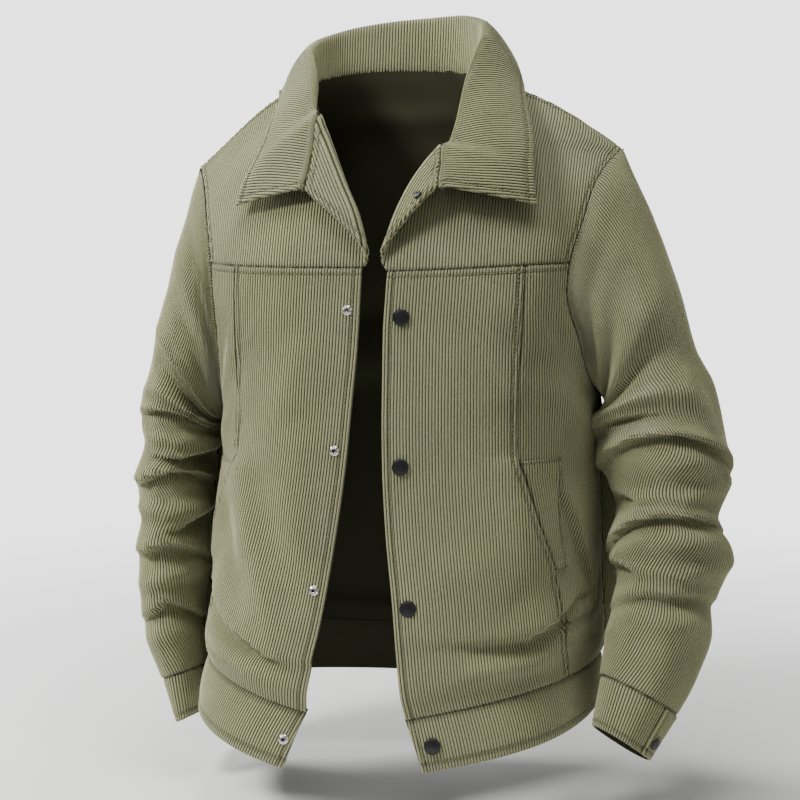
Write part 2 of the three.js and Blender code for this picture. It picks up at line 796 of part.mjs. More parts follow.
function frontSideGrid(side) {
  return panelLevels.map((level) => {
    const length = rowLength(side, level);
    const start = seamAcross(side, level) + uprightGap(level) / 2 / length;
    const end = 1 - (level <= ARMPIT_LEVEL ? SEAM_GAP / 2 / length : 0);
    const far = Math.min(start + facingWidth(level) / length, mix(start, end, 0.6));
    const places = [start, (start + far) / 2, ...steps(far, end, SIDE_COLUMNS - 1)];
    return places.map((across) => frontPoint(side, across, level));
  });
}

// Pocket facing: lies on the side panel behind the pocket mouth, on that panel's own faces.
function pocketFacingGrid(side) {
  const rows = panelLevels.map((level, i) => [level, i])
    .filter(([level]) => level > POCKET.bottom && level < POCKET.top)
    .map(([, i]) => i);
  const raised = moved(frontSideGrid(side), 1.5 * SEAM_GAP + FACING, { flip: side === 'right' });
  return rows.map((i) => {
    const [seam, middle, far] = raised[i];
    const edge = seam.clone().lerp(middle, 1.6 / seam.distanceTo(middle));
    return [edge, middle, far];
  });
}

// Lapel: place along the roll line and flat distance from it.
function lapelWidth(along) {
  if (along <= LAPEL_PEAK) return (LAPEL_WIDTH * along) / LAPEL_PEAK;
  return (LAPEL_WIDTH * (1 - along)) / (1 - LAPEL_PEAK);
}

const LAPEL = { left: { radius: 4.5, turn: 150 }, right: { radius: 3.5, turn: 172 } };
const rollLevel = (along) => mix(YOKE_LEVEL, ROLL_TOP_LEVEL, along);

function lapelPoint(side, along, out) {
  const level = rollLevel(along);
  const root = frontPoint(side, 0, level);
  const roll = frontPoint(side, 0, level + 2).sub(frontPoint(side, 0, level - 2)).normalize();
  const into = frontPoint(side, 0.04, level).sub(root);
  into.addScaledVector(roll, -into.dot(roll)).normalize();
  const normal = into.clone().cross(roll).multiplyScalar(sign(side)).normalize();
  const { radius, turn } = LAPEL[side];
  const full = radians(turn) * Math.min(1, lapelWidth(along) / 16 + 0.35);
  const angle = Math.min(out / radius, full);
  const rest = Math.max(out - radius * full, 0);
  root.addScaledVector(into, -radius * Math.sin(angle) - rest * Math.cos(full));
  return root.addScaledVector(normal, radius * (1 - Math.cos(angle)) + rest * Math.sin(full));
}

const YOKE_LEVELS = [-188, -169, -150, -134, -118, -112, -96, -80, -70, -60, -48, -22, 0];
const LAPEL_STEPS = [1, 0.8, 0.6, 0.42, 0.27, 0.13];
const YOKE_COLUMNS = {};
for (const side of ['left', 'right']) {
  const seam = seamAcross(side, YOKE_LEVEL);
  YOKE_COLUMNS[side] = [...steps(0, seam, PANEL_COLUMNS), ...steps(seam, 1, SIDE_COLUMNS).slice(1)];
}

function lapelRow(side, level) {
  if (level >= ROLL_TOP_LEVEL) return LAPEL_STEPS.map(() => frontPoint(side, 0, level));
  const along = (level - YOKE_LEVEL) / (ROLL_TOP_LEVEL - YOKE_LEVEL);
  return LAPEL_STEPS.map((share) => lapelPoint(side, along, share * lapelWidth(along)));
}

function yokeGrid(side) {
  return YOKE_LEVELS.map((level) => [
    ...lapelRow(side, level),
    ...YOKE_COLUMNS[side].map((across) => frontPoint(side, across, level)),
  ]);
}

// The facing is the part of the yoke's inner face near the lapel, moved in.
function lapelFacingGrid(side) {
  const rows = YOKE_LEVELS.filter((level) => level < ROLL_TOP_LEVEL).length;
  const columns = LAPEL_STEPS.length + 2;
  const inner = moved(yokeGrid(side), -(CLOTH + SEAM_GAP), { flip: side === 'right' });
  return inner.slice(0, rows).map((row) => row.slice(0, columns));
}

const BACK_NECK_STEPS = 4;
function backGrid() {
  const levels = [...LOW_LEVELS, ...ARM_LEVELS.slice(1)];
  const neck = steps(SHOULDER_SHARE, 1, BACK_NECK_STEPS).slice(1);
  const halfOf = (side) => [
    ...YOKE_COLUMNS[side].map((across) => (1 - across) * SHOULDER_SHARE).reverse(),
    ...neck,
  ];
  const rows = levels.map((level) => {
    const inset = level <= ARMPIT_LEVEL ? 0.0007 : 0;
    const row = (side) => halfOf(side).map((across) => backPoint(side, Math.max(across, inset), level));
    return [...row('left'), ...row('right').reverse().slice(1)];
  });
  const [top, below] = [rows[rows.length - 1], rows[rows.length - 2]];
  top.forEach((point, j) => {
    const down = below[j].clone().sub(point).normalize();
    point.addScaledVector(down, 1.6 * SEAM_GAP);
  });
  return rows;
}

// Hem band: from the left front edge round the back to the right front edge.
const BAND_DROP = table('round x y z',
  [0, 18, -7, -48],
  [0.12, 10, -6, -50],
  [0.27, 1, -2, -47],
  [0.5, 0, 2, -47],
  [0.73, -6, -2, -54],
  [0.88, -14, -6, -51],
  [1, -20, -12, -52]);

function bandSeamPoint(round) {
  const front = 0.27;
  if (round <= front) return frontPoint('left', round / front, BAND_LEVEL);
  if (round >= 1 - front) return frontPoint('right', (1 - round) / front, BAND_LEVEL);
  const back = (round - front) / (0.5 - front);
  if (back <= 1) return backPoint('left', back, BAND_LEVEL);
  return backPoint('right', 2 - back, BAND_LEVEL);
}

function bandPoint(round, down) {
  const drop = readPoint(BAND_DROP, 'round', round);
  const point = bandSeamPoint(round);
  const outward = vec(point.x * 0.8, point.y, 0).normalize();
  point.addScaledVector(drop, down);
  point.addScaledVector(outward, 3 * Math.sin(Math.PI * down));
  return point;
}

function bandGrid() {
  const gapShare = SEAM_GAP / 48;
  return steps(gapShare, 1, 3).map((down) => steps(0, 1, 44).map((round) => bandPoint(round, down)));
}

// Cuff: a strip from its under end once round to its lapping end.
const CUFF_START = { left: 0.03, right: -0.13 };
function cuffPoint(side, turn, down) {
  const top = sleeveRing(side, sleeveEnd(side));
  const ring = {};
  for (const column of ['out_x', 'out_z', 'in_x', 'in_z', 'y', 'depth']) {
    ring[column] = mix(top[column], CUFF_END[side][column], down);
  }
  ring.rise = 0;
  const point = ringPoint(ring, sleeveLean(side, sleeveEnd(side)), turn * 2 * Math.PI);
  const middle = vec((ring.out_x + ring.in_x) / 2, ring.y, (ring.out_z + ring.in_z) / 2);
  return { point, middle };
}

function cuffLayer(side, round, down) {
  const { point, middle } = cuffPoint(side, CUFF_START[side] + round, down);
  const outward = point.clone().sub(middle).normalize();
  const lap = smooth((round - 0.8) / 0.2);
  return { point: point.addScaledVector(outward, -1.4 + lap * (BAND_CLOTH + 0.5)), outward };
}

function cuffGrid(side) {
  const gapShare = (3 * SEAM_GAP) / CUFF_HEIGHT;
  return steps(gapShare, 1, 3).map(
    (down) => steps(0, 1 + CUFF_LAP, 24).map((round) => cuffLayer(side, round, down).point),
  );
}

// Neck edge of one side: share 0 is the middle of the back, 1 the lapel's corner.
const NECK_PARTS = { shoulder: 0.42, roll: 0.78 };
function neckPoint(side, share) {
  const { shoulder, roll } = NECK_PARTS;
  if (share < shoulder) return topSeam(side, mix(1, SHOULDER_SHARE, share / shoulder));
  if (share < roll) {
    return frontPoint(side, 0, mix(SHOULDER_LEVEL, ROLL_TOP_LEVEL, (share - shoulder) / (roll - shoulder)));
  }
  const along = mix(1, LAPEL_PEAK, (share - roll) / (1 - roll));
  return lapelPoint(side, along, lapelWidth(along));
}

// Collar sections from the middle of the back to the front end of each side: where the stand heads,
// its height, the fold's radius, the leaf's edge, how far the leaf bows, and the root's place.
const COLLAR = {
  left: table('share head_x head_y head_z stand radius x y z bow gap inset',
    [0, 0, 0.16, 1, 44, 6, -18, 112, -6, 3, 0.4, 2.6],
    [0.2, 0, 0.2, 1, 51, 6, 52, 110, -2, 3, 0.4, 2.6],
    [0.32, 0.02, 0.12, 1, 48, 6, 93, 66, 10, 3, 0.4, 2.6],
    [0.42, -0.02, -0.05, 1, 34, 6.5, 113, 20, -12, 3, 0.5, 2.6],
    [0.6, -0.3, -0.45, 0.85, 9, 6.5, 127, -30, -40, 4, 1, 2.4],
    [0.74, -0.3, -0.8, 0.55, 2, 6, 138, -66, -70, 5, 1.6, 1.6],
    [0.8, -0.15, -0.88, 0.47, 1, 5.5, 141, -84, -90, 5, 1.6, 0],
    [0.9, 0, -0.9, 0.44, 0.6, 5, 144, -97, -112, 4, 1, -1],
    [1, 0, -0.9, 0.44, 0.4, 5, 147, -103, -128, 2, 0.6, -1]),
  right: table('share head_x head_y head_z stand radius x y z bow gap inset',
    [0, 0, 0.16, 1, 44, 6, -18, 112, -6, 3, 0.4, 2.6],
    [0.2, -0.16, 0.2, 1, 38, 6, -100, 106, -12, 3, 0.4, 2.6],
    [0.32, -0.2, 0.1, 1, 33, 6, -131, 66, -8, 3, 0.4, 2.6],
    [0.42, -0.02, -0.05, 1, 25, 6.5, -129, 20, -24, 3, 0.5, 2.6],
    [0.6, 0.3, -0.45, 0.85, 9, 6.5, -125, -26, -44, 4, 1, 2.4],
    [0.74, 0.3, -0.8, 0.55, 2, 6, -129, -60, -74, 5, 1.6, 1.6],
    [0.8, 0.15, -0.88, 0.47, 1, 5.5, -135, -76, -94, 5, 1.6, 0],
    [0.9, 0, -0.9, 0.44, 0.6, 5, -142, -90, -114, 4, 1, -1],
    [1, 0, -0.9, 0.44, 0.4, 5, -145, -98, -132, 2, 0.6, -1]),
};

// Points and normals of the cloth that the leaf lies on.
function underLeaf(side) {
  const samples = [];
  for (const across of steps(0, 1, 40)) {
    for (const level of steps(YOKE_LEVEL, SHOULDER_LEVEL, 36)) {
      const point = frontPoint(side, across, level);
      samples.push({ point, normal: bodyNormal(frontPoint, side, across, level) });
    }
    for (const level of steps(-110, SHOULDER_LEVEL, 16)) {
      const point = backPoint(side, across, level);
      samples.push({ point, normal: bodyNormal(backPoint, side, across, level) });
    }
  }
  return samples;
}
const UNDER_LEAF = { left: underLeaf('left'), right: underLeaf('right') };
const LEAF_CLEARANCE = COLLAR_CLOTH + 1.6;

// Lays a point of the leaf on the cloth below it, at least its clearance out.
function laidOver(side, point) {
  let nearest = UNDER_LEAF[side][0];
  for (const sample of UNDER_LEAF[side]) {
    const closer = sample.point.distanceToSquared(point) < nearest.point.distanceToSquared(point);
    if (closer) nearest = sample;
  }
  const from = point.clone().sub(nearest.point);
  const height = from.dot(nearest.normal);
  const aside = from.addScaledVector(nearest.normal, -height).length();
  const soft = 3;
  const short = LEAF_CLEARANCE + soft - height;
  if (short <= 0 || aside > 12) return point;
  const lift = short > 2 * soft ? short - soft : (short * short) / (4 * soft);
  return point.addScaledVector(nearest.normal, lift);
}

const COLLAR_STEPS = [0, 0.35, 0.7, 1];
const FOLD_STEPS = [0.25, 0.5, 0.75, 1];
const LEAF_STEPS = [0.2, 0.4, 0.6, 0.8, 1];

function collarSection(side, share) {
  const column = (name) => read(COLLAR[side], 'share', share, name);
  const stand = column('stand');
  const radius = column('radius');
  const tip = vec(column('x'), column('y'), column('z'));
  const head = vec(column('head_x'), column('head_y'), column('head_z')).normalize();
  const root = neckPoint(side, share).addScaledVector(head, column('gap'));
  const outward = tip.clone().sub(root);
  outward.addScaledVector(head, -outward.dot(head)).normalize();
  root.addScaledVector(outward, -column('inset'));
  const reach = tip.clone().sub(root);
  const a = reach.dot(head) - stand;
  const b = reach.dot(outward) - radius;
  const length = Math.sqrt(Math.max(a * a + b * b - radius * radius, 1));
  const fold = Math.atan2(b, a) + Math.atan2(radius, length);
  const place = (up, out) => root.clone().addScaledVector(head, up).addScaledVector(outward, out);
  const points = COLLAR_STEPS.map((t) => place(stand * t, 0));
  for (const t of FOLD_STEPS) {
    const angle = fold * t;
    points.push(place(stand + radius * Math.sin(angle), radius * (1 - Math.cos(angle))));
  }
  for (const t of LEAF_STEPS) {
    const bow = column('bow') * 4 * t * (1 - t);
    const up = stand + radius * Math.sin(fold) + length * t * Math.cos(fold) + bow * Math.sin(fold);
    const out = radius * (1 - Math.cos(fold)) + length * t * Math.sin(fold) - bow * Math.cos(fold);
    points.push(laidOver(side, place(up, out)));
  }
  return points;
}

function collarGrid() {
  const { shoulder, roll } = NECK_PARTS;
  const shareAt = (level) => {
    if (level > ROLL_TOP_LEVEL) return mix(shoulder, roll, level / ROLL_TOP_LEVEL);
    const along = (level - YOKE_LEVEL) / (ROLL_TOP_LEVEL - YOKE_LEVEL);
    return mix(1, roll, (along - LAPEL_PEAK) / (1 - LAPEL_PEAK));
  };
  const corner = mix(YOKE_LEVEL, ROLL_TOP_LEVEL, LAPEL_PEAK);
  const levels = YOKE_LEVELS.filter((level) => level < SHOULDER_LEVEL && level >= corner).reverse();
  const shares = [...steps(0, shoulder, BACK_NECK_STEPS), ...levels.map(shareAt)];
  const left = shares.map((share) => collarSection('left', share));
  const right = shares.slice(1).map((share) => collarSection('right', share)).reverse();
  return [...right, ...left];
}

// Snap parts, turned about their own axis.
function snapCap(diameter) {
  const r = diameter / 2;
  const profile = [[0, 0], [r - 1.4, 0], [r, 0.9], [r, 2], [r - 1.2, 3.2], [r - 3.4, 3.8], [0, 4.1]];
  return new THREE.LatheGeometry(profile.map(([x, y]) => new THREE.Vector2(x, y)), 16);
}

function snapStud(diameter) {
  const r = diameter / 2;
  const hole = r * 0.36;
  const profile = [[hole, 0], [r, 0], [r, 0.8], [r * 0.72, 1.6], [r * 0.6, 3], [hole, 3], [hole, 0]];
  return new THREE.LatheGeometry(profile.map(([x, y]) => new THREE.Vector2(x, y)), 14);
}

const garment = new THREE.Group();

function addPiece(name, geometry, colour, metalness = 0, roughness = 0.95) {
  const material = new THREE.MeshStandardMaterial({ color: colour, roughness, metalness });
  const mesh = new THREE.Mesh(geometry, material);
  mesh.name = name;
  garment.add(mesh);
  return mesh;
}

function addSnap(name, geometry, point, normal, colour) {
  const mesh = addPiece(name, geometry, colour, 0.8, 0.35);
  mesh.position.copy(point).addScaledVector(normal, SEAM_GAP);
  mesh.quaternion.setFromUnitVectors(vec(0, 1, 0), normal);
}

for (const side of ['left', 'right']) {
  const flip = side === 'right';
  const seams = SEAMS[side];
  addPiece(`front_yoke_${side}`, wall(yokeGrid(side), CLOTH, { flip, seams }), OLIVE_PALE);
  addPiece(`front_panel_${side}`, wall(frontPanelGrid(side), CLOTH, { flip, seams }), OLIVE);
  addPiece(`front_side_${side}`, wall(frontSideGrid(side), CLOTH, { flip, seams }), OLIVE);
  addPiece(`lapel_facing_${side}`, wall(lapelFacingGrid(side), FACING, { flip }), OLIVE_PALE);
  addPiece(`pocket_facing_${side}`, wall(pocketFacingGrid(side), FACING, { flip }), OLIVE);
  addPiece(`sleeve_${side}`, wall(sleeveGrid(side), CLOTH, { closed: true, flip, seams: SLEEVE_SEAMS[side] }), OLIVE);
  addPiece(`cuff_${side}`, wall(cuffGrid(side), BAND_CLOTH, { flip }), OLIVE);
}
addPiece('back', wall(backGrid(), CLOTH, { seams: [...SEAMS.left, ...SEAMS.right] }), OLIVE);
addPiece('hem_band', wall(bandGrid(), BAND_CLOTH, { flip: true }), OLIVE);
addPiece('collar', wall(collarGrid(), COLLAR_CLOTH, { flip: true }), OLIVE_PALE);

// Front snaps: caps on the left front, studs on the right, three on the panel and one on the band.
const PANEL_SNAPS = {
  left: table('inset level', [15, -233], [15, -372], [13, -504]),
  right: table('inset level', [10.5, -226], [10.5, -357], [10.5, -487]),
};
const BAND_SNAPS = { left: { inset: 17, down: 0.52 }, right: { inset: 9, down: 0.5 } };
const BAND_LENGTH = 1130;

function frontSnap(side, i, point, normal) {
  if (side === 'left') addSnap(`snap_cap_${i}`, snapCap(CAP_DIAMETER), point, normal, BLACK_METAL);
  else addSnap(`snap_stud_${i}`, snapStud(STUD_DIAMETER), point, normal, SILVER);
}

for (const side of ['left', 'right']) {
  PANEL_SNAPS[side].forEach(({ inset, level }, i) => {
    const across = inset / rowLength(side, level);
    frontSnap(side, i + 1, frontPoint(side, across, level), bodyNormal(frontPoint, side, across, level));
  });
  const { inset, down } = BAND_SNAPS[side];
  const round = side === 'left' ? inset / BAND_LENGTH : 1 - inset / BAND_LENGTH;
  const normal = surfaceNormal((a, b) => bandPoint(a, b), round, down, 0.004, 0.1).negate();
  frontSnap(side, 4, bandPoint(round, down), normal);
}

// Snap on the left lapel's facing, seen where the lapel turns out.
const LAPEL_SNAP = { along: 0.5, out: 0.78 };
{
  const { along, out } = LAPEL_SNAP;
  const onLapel = (a, b) => lapelPoint('left', a, b);
  const place = out * lapelWidth(along);
  const normal = surfaceNormal(onLapel, along, place, 0.01, 0.5);
  normal.multiplyScalar(-Math.sign(normal.y));
  const point = lapelPoint('left', along, place).addScaledVector(normal, CLOTH + FACING + 2 * SEAM_GAP);
  addSnap('snap_lapel', snapCap(LAPEL_SNAP_DIAMETER), point, normal, BLACK_METAL);
}

// A snap closes each cuff where its ends lap.
for (const side of ['left', 'right']) {
  const onCuff = (round, down) => cuffLayer(side, round, down).point;
  const normal = surfaceNormal(onCuff, 1.035, 0.7, 0.01, 0.05);
  normal.multiplyScalar(Math.sign(normal.dot(cuffLayer(side, 1.035, 0.7).outward)));
  const point = onCuff(1.035, 0.7).addScaledVector(normal, 0.6);
  addSnap(`snap_cuff_${side}`, snapCap(CUFF_SNAP_DIAMETER), point, normal, BLACK_METAL);
}

export default garment;
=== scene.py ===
"""Corduroy jacket: the look of the cloth, its folds, seams, stitches and snaps, on the solids' own form."""
import math

import bpy
import mathutils
import numpy as np
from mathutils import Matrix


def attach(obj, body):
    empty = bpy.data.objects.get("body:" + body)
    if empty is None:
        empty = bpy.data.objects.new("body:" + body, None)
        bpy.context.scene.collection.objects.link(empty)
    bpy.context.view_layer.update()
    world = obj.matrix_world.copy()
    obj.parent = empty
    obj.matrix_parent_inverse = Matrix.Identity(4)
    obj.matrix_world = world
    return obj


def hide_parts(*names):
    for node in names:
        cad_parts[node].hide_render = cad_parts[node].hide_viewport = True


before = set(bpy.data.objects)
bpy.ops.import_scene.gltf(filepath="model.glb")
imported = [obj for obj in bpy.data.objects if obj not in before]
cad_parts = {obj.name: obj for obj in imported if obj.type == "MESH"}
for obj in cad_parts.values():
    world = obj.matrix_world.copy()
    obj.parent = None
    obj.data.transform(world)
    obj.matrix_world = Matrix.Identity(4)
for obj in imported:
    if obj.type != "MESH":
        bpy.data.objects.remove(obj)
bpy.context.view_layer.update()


# Driving sizes in millimetres, the same as the solids'
CLOTH = 2.2  # wall of the corduroy panels
FACING = 1.6  # wall of the lapel and pocket facings
COLLAR_CLOTH = 3.0  # two layers of corduroy and a stiffener
BAND_CLOTH = 3.0  # doubled cloth of the hem band and the cuffs
SEAM_GAP = 0.3  # between neighbouring pieces
YOKE_LEVEL = -188
ARMPIT_LEVEL = -320
ROLL_TOP_LEVEL = -60  # where the lapel's roll line meets the neckline
BAND_LEVEL = -600  # seam between the body and the hem band
BAND_HEIGHT, CUFF_HEIGHT = 48, 47
LAPEL_WIDTH = 42  # flat width of the turned-out corner
LAPEL_PEAK = 0.59375  # place of the corner along the roll line
CUFF_LAP = 0.07  # share of a turn by which the cuff's ends lap
CAP_DIAMETER, CUFF_CAP_DIAMETER, LAPEL_CAP_DIAMETER, STUD_DIAMETER = 16, 12, 8, 9.5
SHOULDER_SHARE = 0.57  # share of the top seam that is shoulder, from the sleeve inwards
NECK_SHOULDER, NECK_ROLL = 0.42, 0.78  # shoulder seam and roll line along the collar's root
SIGN = {"left": 1, "right": -1}


def table(names, *rows):
    """Rows of numbers with named columns."""
    return dict(zip(names.split(), np.array(rows, float).T))


def read(rows, key, at, column):
    """Value of a column between the rows, smooth and without overshoot."""
    x, y = rows[key], rows[column]
    h = np.diff(x)
    d = np.diff(y) / h
    m = np.concatenate([d[:1], np.zeros(len(y) - 2), d[-1:]])
    both = d[:-1] * d[1:] > 0
    m[1:-1][both] = (2 * d[:-1] * d[1:])[both] / (d[:-1] + d[1:])[both]
    at = np.clip(at, x[0], x[-1])
    i = np.clip(np.searchsorted(x, at, side="right") - 1, 0, len(x) - 2)
    t = (at - x[i]) / h[i]
    t2, t3 = t * t, t * t * t
    return ((2 * t3 - 3 * t2 + 1) * y[i] + (t3 - 2 * t2 + t) * m[i] * h[i]
            + (3 * t2 - 2 * t3) * y[i + 1] + (t3 - t2) * m[i + 1] * h[i])


def read_point(rows, key, at):
    return np.stack([read(rows, key, at, c) for c in ("x", "y", "z")], -1)


def smooth(t):
    t = np.clip(t, 0, 1)
    return t * t * (3 - 2 * t)


def mix(a, b, t):
    return a + (b - a) * t


def unit(v):
    return v / np.maximum(np.linalg.norm(v, axis=-1, keepdims=True), 1e-9)


def vec(x, y, z):
    return np.stack(np.broadcast_arrays(*[np.asarray(v, float) for v in (x, y, z)]), -1)


# Lines of the body, level by level: the front edges, the side seams, the armholes and the back's middle
EDGE = {
  "left": table("level x y z",
    [-600, 35, -163, -612],
    [-575, 31, -171, -586],
    [-545, 27, -168, -556],
    [-500, 21, -161, -500],
    [-430, 13, -154, -430],
    [-370, 9, -149, -370],
    [-320, 8, -146, -322],
    [-258, 8, -141, -256],
    [-210, 10, -138, -211],
    [-188, 11.5, -136, -190],
    [-150, 20, -121, -152],
    [-118, 32, -105, -120],
    [-90, 46, -90, -95],
    [-60, 61, -73, -74],
    [-30, 69, -36, -42],
    [0, 76, 8, -13]),
  "right": table("level x y z",
    [-600, -58, -178, -606],
    [-575, -55, -185, -580],
    [-545, -50, -179, -548],
    [-500, -42, -171, -503],
    [-430, -31, -161, -430],
    [-370, -24, -154, -370],
    [-320, -20, -149, -320],
    [-258, -15, -143, -258],
    [-210, -13, -139, -210],
    [-188, -12.3, -136, -187],
    [-150, -23, -122, -148],
    [-118, -39.6, -105, -116],
    [-90, -56, -85, -84],
    [-60, -78.4, -50, -45],
    [-30, -87, -22, -29],
    [0, -96, 8, -15]),
}
SIDE = {
  "left": table("level x y z",
    [-600, 197, 8, -581],
    [-578, 201, 10, -563],
    [-550, 201, 12, -545],
    [-500, 198, 14, -497],
    [-430, 196, 16, -430],
    [-370, 193, 16, -372],
    [-320, 195, 5, -318]),
  "right": table("level x y z",
    [-600, -193, 5, -576],
    [-578, -199, 8, -560],
    [-550, -198, 10, -545],
    [-500, -193, 12, -500],
    [-430, -190, 14, -438],
    [-370, -184, 14, -386],
    [-320, -183, 3, -345]),
}
ARM_FRONT = {
  "left": table("level x y z",
    [-320, 195, 5, -318],
    [-300, 190, -32, -300],
    [-258, 182, -60, -258],
    [-210, 172, -75, -210],
    [-188, 174, -72, -184],
    [-150, 184, -58, -146],
    [-118, 191, -38, -116],
    [-90, 199, -16, -97],
    [-60, 206, 0, -87],
    [-30, 210, 9, -82],
    [0, 212.6, 14, -79.5]),
  "right": table("level x y z",
    [-320, -183, 3, -345],
    [-300, -178, -40, -318],
    [-258, -174, -66, -268],
    [-210, -176, -75, -214],
    [-188, -178, -73, -190],
    [-150, -187, -55, -150],
    [-118, -195, -34, -127],
    [-90, -203, -14, -112],
    [-60, -209, 0, -105],
    [-30, -212, 7, -102],
    [0, -213.5, 12, -101]),
}
ARM_BACK = {
  "left": table("level x y z",
    [-320, 195, 5, -318],
    [-300, 193, 40, -298],
    [-255, 183, 70, -255],
    [-205, 177, 82, -205],
    [-155, 182, 74, -155],
    [-110, 194, 52, -113],
    [-55, 206, 28, -88],
    [0, 212.6, 14, -79.5]),
  "right": table("level x y z",
    [-320, -183, 3, -345],
    [-300, -183, 40, -322],
    [-255, -179, 70, -276],
    [-205, -178, 82, -222],
    [-155, -185, 74, -172],
    [-110, -198, 52, -134],
    [-55, -209, 27, -109],
    [0, -213.5, 12, -101]),
}
BACK_MIDDLE = table("level x y z",
  [-600, 0, 106, -588],
  [-575, 0, 119, -566],
  [-545, 0, 117, -545],
  [-500, 0, 112, -500],
  [-430, 2, 110, -432],
  [-370, 4, 108, -374],
  [-320, 5, 104, -325],
  [-255, 3, 98, -258],
  [-205, 1, 94, -205],
  [-155, -2, 92, -150],
  [-110, -6, 90, -98],
  [-55, -11, 87, -44],
  [0, -16, 84, -2])
# How the rows bulge between those lines: reach as a share of the chord, turn in degrees, rise and crown
FRONT_SHAPE = table("level edge_hold side_hold edge_turn side_turn edge_rise crown",
  [-600, 0.45, 0.38, 0, 90, 0.8, 0],
  [-500, 0.46, 0.38, 0, 90, 0.6, 0],
  [-320, 0.45, 0.36, 0, 90, 0.5, 0],
  [-300, 0.42, 0.34, 0, 80, 0.5, 0],
  [-258, 0.40, 0.32, 0, 66, 0.5, 0],
  [-188, 0.40, 0.33, 0, 50, 0.5, 0],
  [-118, 0.36, 0.30, 5, 42, 0.5, 2],
  [-60, 0.26, 0.30, 16, 26, 0.5, 4],
  [0, 0.33, 0.33, 0, 0, 0.33, 11])
BACK_SHAPE = table("level side_hold middle_hold left_turn right_turn",
  [-600, 0.30, 0.42, 96, 90],
  [-560, 0.34, 0.42, 122, 92],
  [-500, 0.40, 0.42, 132, 96],
  [-400, 0.40, 0.42, 130, 96],
  [-350, 0.34, 0.42, 110, 92],
  [-320, 0.30, 0.42, 90, 90],
  [-255, 0.28, 0.42, 60, 60],
  [-205, 0.26, 0.42, 40, 40],
  [-110, 0.26, 0.42, 36, 36],
  [0, 0.26, 0.42, 30, 30])
UPRIGHT_SEAM = {
  "left": table("level x",
    [-600, 178],
    [-540, 176],
    [-482, 165],
    [-430, 150],
    [-385, 137],
    [-366, 132],
    [-308, 132],
    [-243, 135],
    [-188, 137]),
  "right": table("level x",
    [-600, -176],
    [-540, -179],
    [-480, -182],
    [-440, -179],
    [-400, -164],
    [-362, -150],
    [-310, -146],
    [-250, -145],
    [-188, -146]),
}
# Rings of the sleeves by run, the length down the outer line; rise lifts the front of a ring
SLEEVE = {
  "left": table("run out_x out_z in_x in_z y depth rise",
    [0, 212.6, -79.5, 195, -318, 8, 78, 0],
    [45, 230, -119, 200, -324, 5, 77, 0],
    [95, 253, -167, 202, -329, 4, 76, 2],
    [145, 271, -215, 202, -334, 2, 74, 4],
    [205, 288, -273, 203, -340, 0, 72, 8],
    [240, 306, -306, 204, -346, -3, 71, 12],
    [295, 320, -363, 211, -364, -8, 66, 22],
    [327, 326, -391, 206, -387, -12, 70, 26],
    [365, 313, -433, 219, -428, -18, 59, 24],
    [402, 328, -468, 210, -469, -26, 64, 22],
    [446, 311, -514, 219, -500, -38, 56, 14],
    [475, 312, -539, 213, -532, -47, 57, 10],
    [515, 300, -579, 211, -556, -60, 51, 4],
    [555, 281, -617, 208, -582, -74, 43, 0]),
  "right": table("run out_x out_z in_x in_z y depth rise",
    [0, -213.5, -101, -183, -345, 8, 78, 0],
    [45, -224, -142, -191, -350, 8, 79, 0],
    [95, -236, -188, -193, -354, 11, 80, 2],
    [145, -248, -236, -193, -358, 13, 80, 4],
    [205, -261, -298, -192, -364, 13, 80, 8],
    [265, -273, -359, -194, -378, 12, 78, 16],
    [295, -268, -388, -197, -402, 10, 70, 20],
    [335, -278, -433, -200, -432, 8, 76, 22],
    [368, -272, -465, -203, -462, 5, 66, 22],
    [402, -277, -500, -203, -497, 2, 72, 20],
    [440, -274, -538, -207, -530, -2, 65, 14],
    [480, -267, -578, -209, -562, -6, 63, 8],
    [528, -248, -624, -204, -607, -12, 56, 0]),
}
# From the band's upper edge to its lower one, round the body from the left front edge
BAND_DROP = table("round x y z",
  [0, 18, -7, -48],
  [0.12, 10, -6, -50],
  [0.27, 1, -2, -47],
  [0.5, 0, 2, -47],
  [0.73, -6, -2, -54],
  [0.88, -14, -6, -51],
  [1, -20, -12, -52])
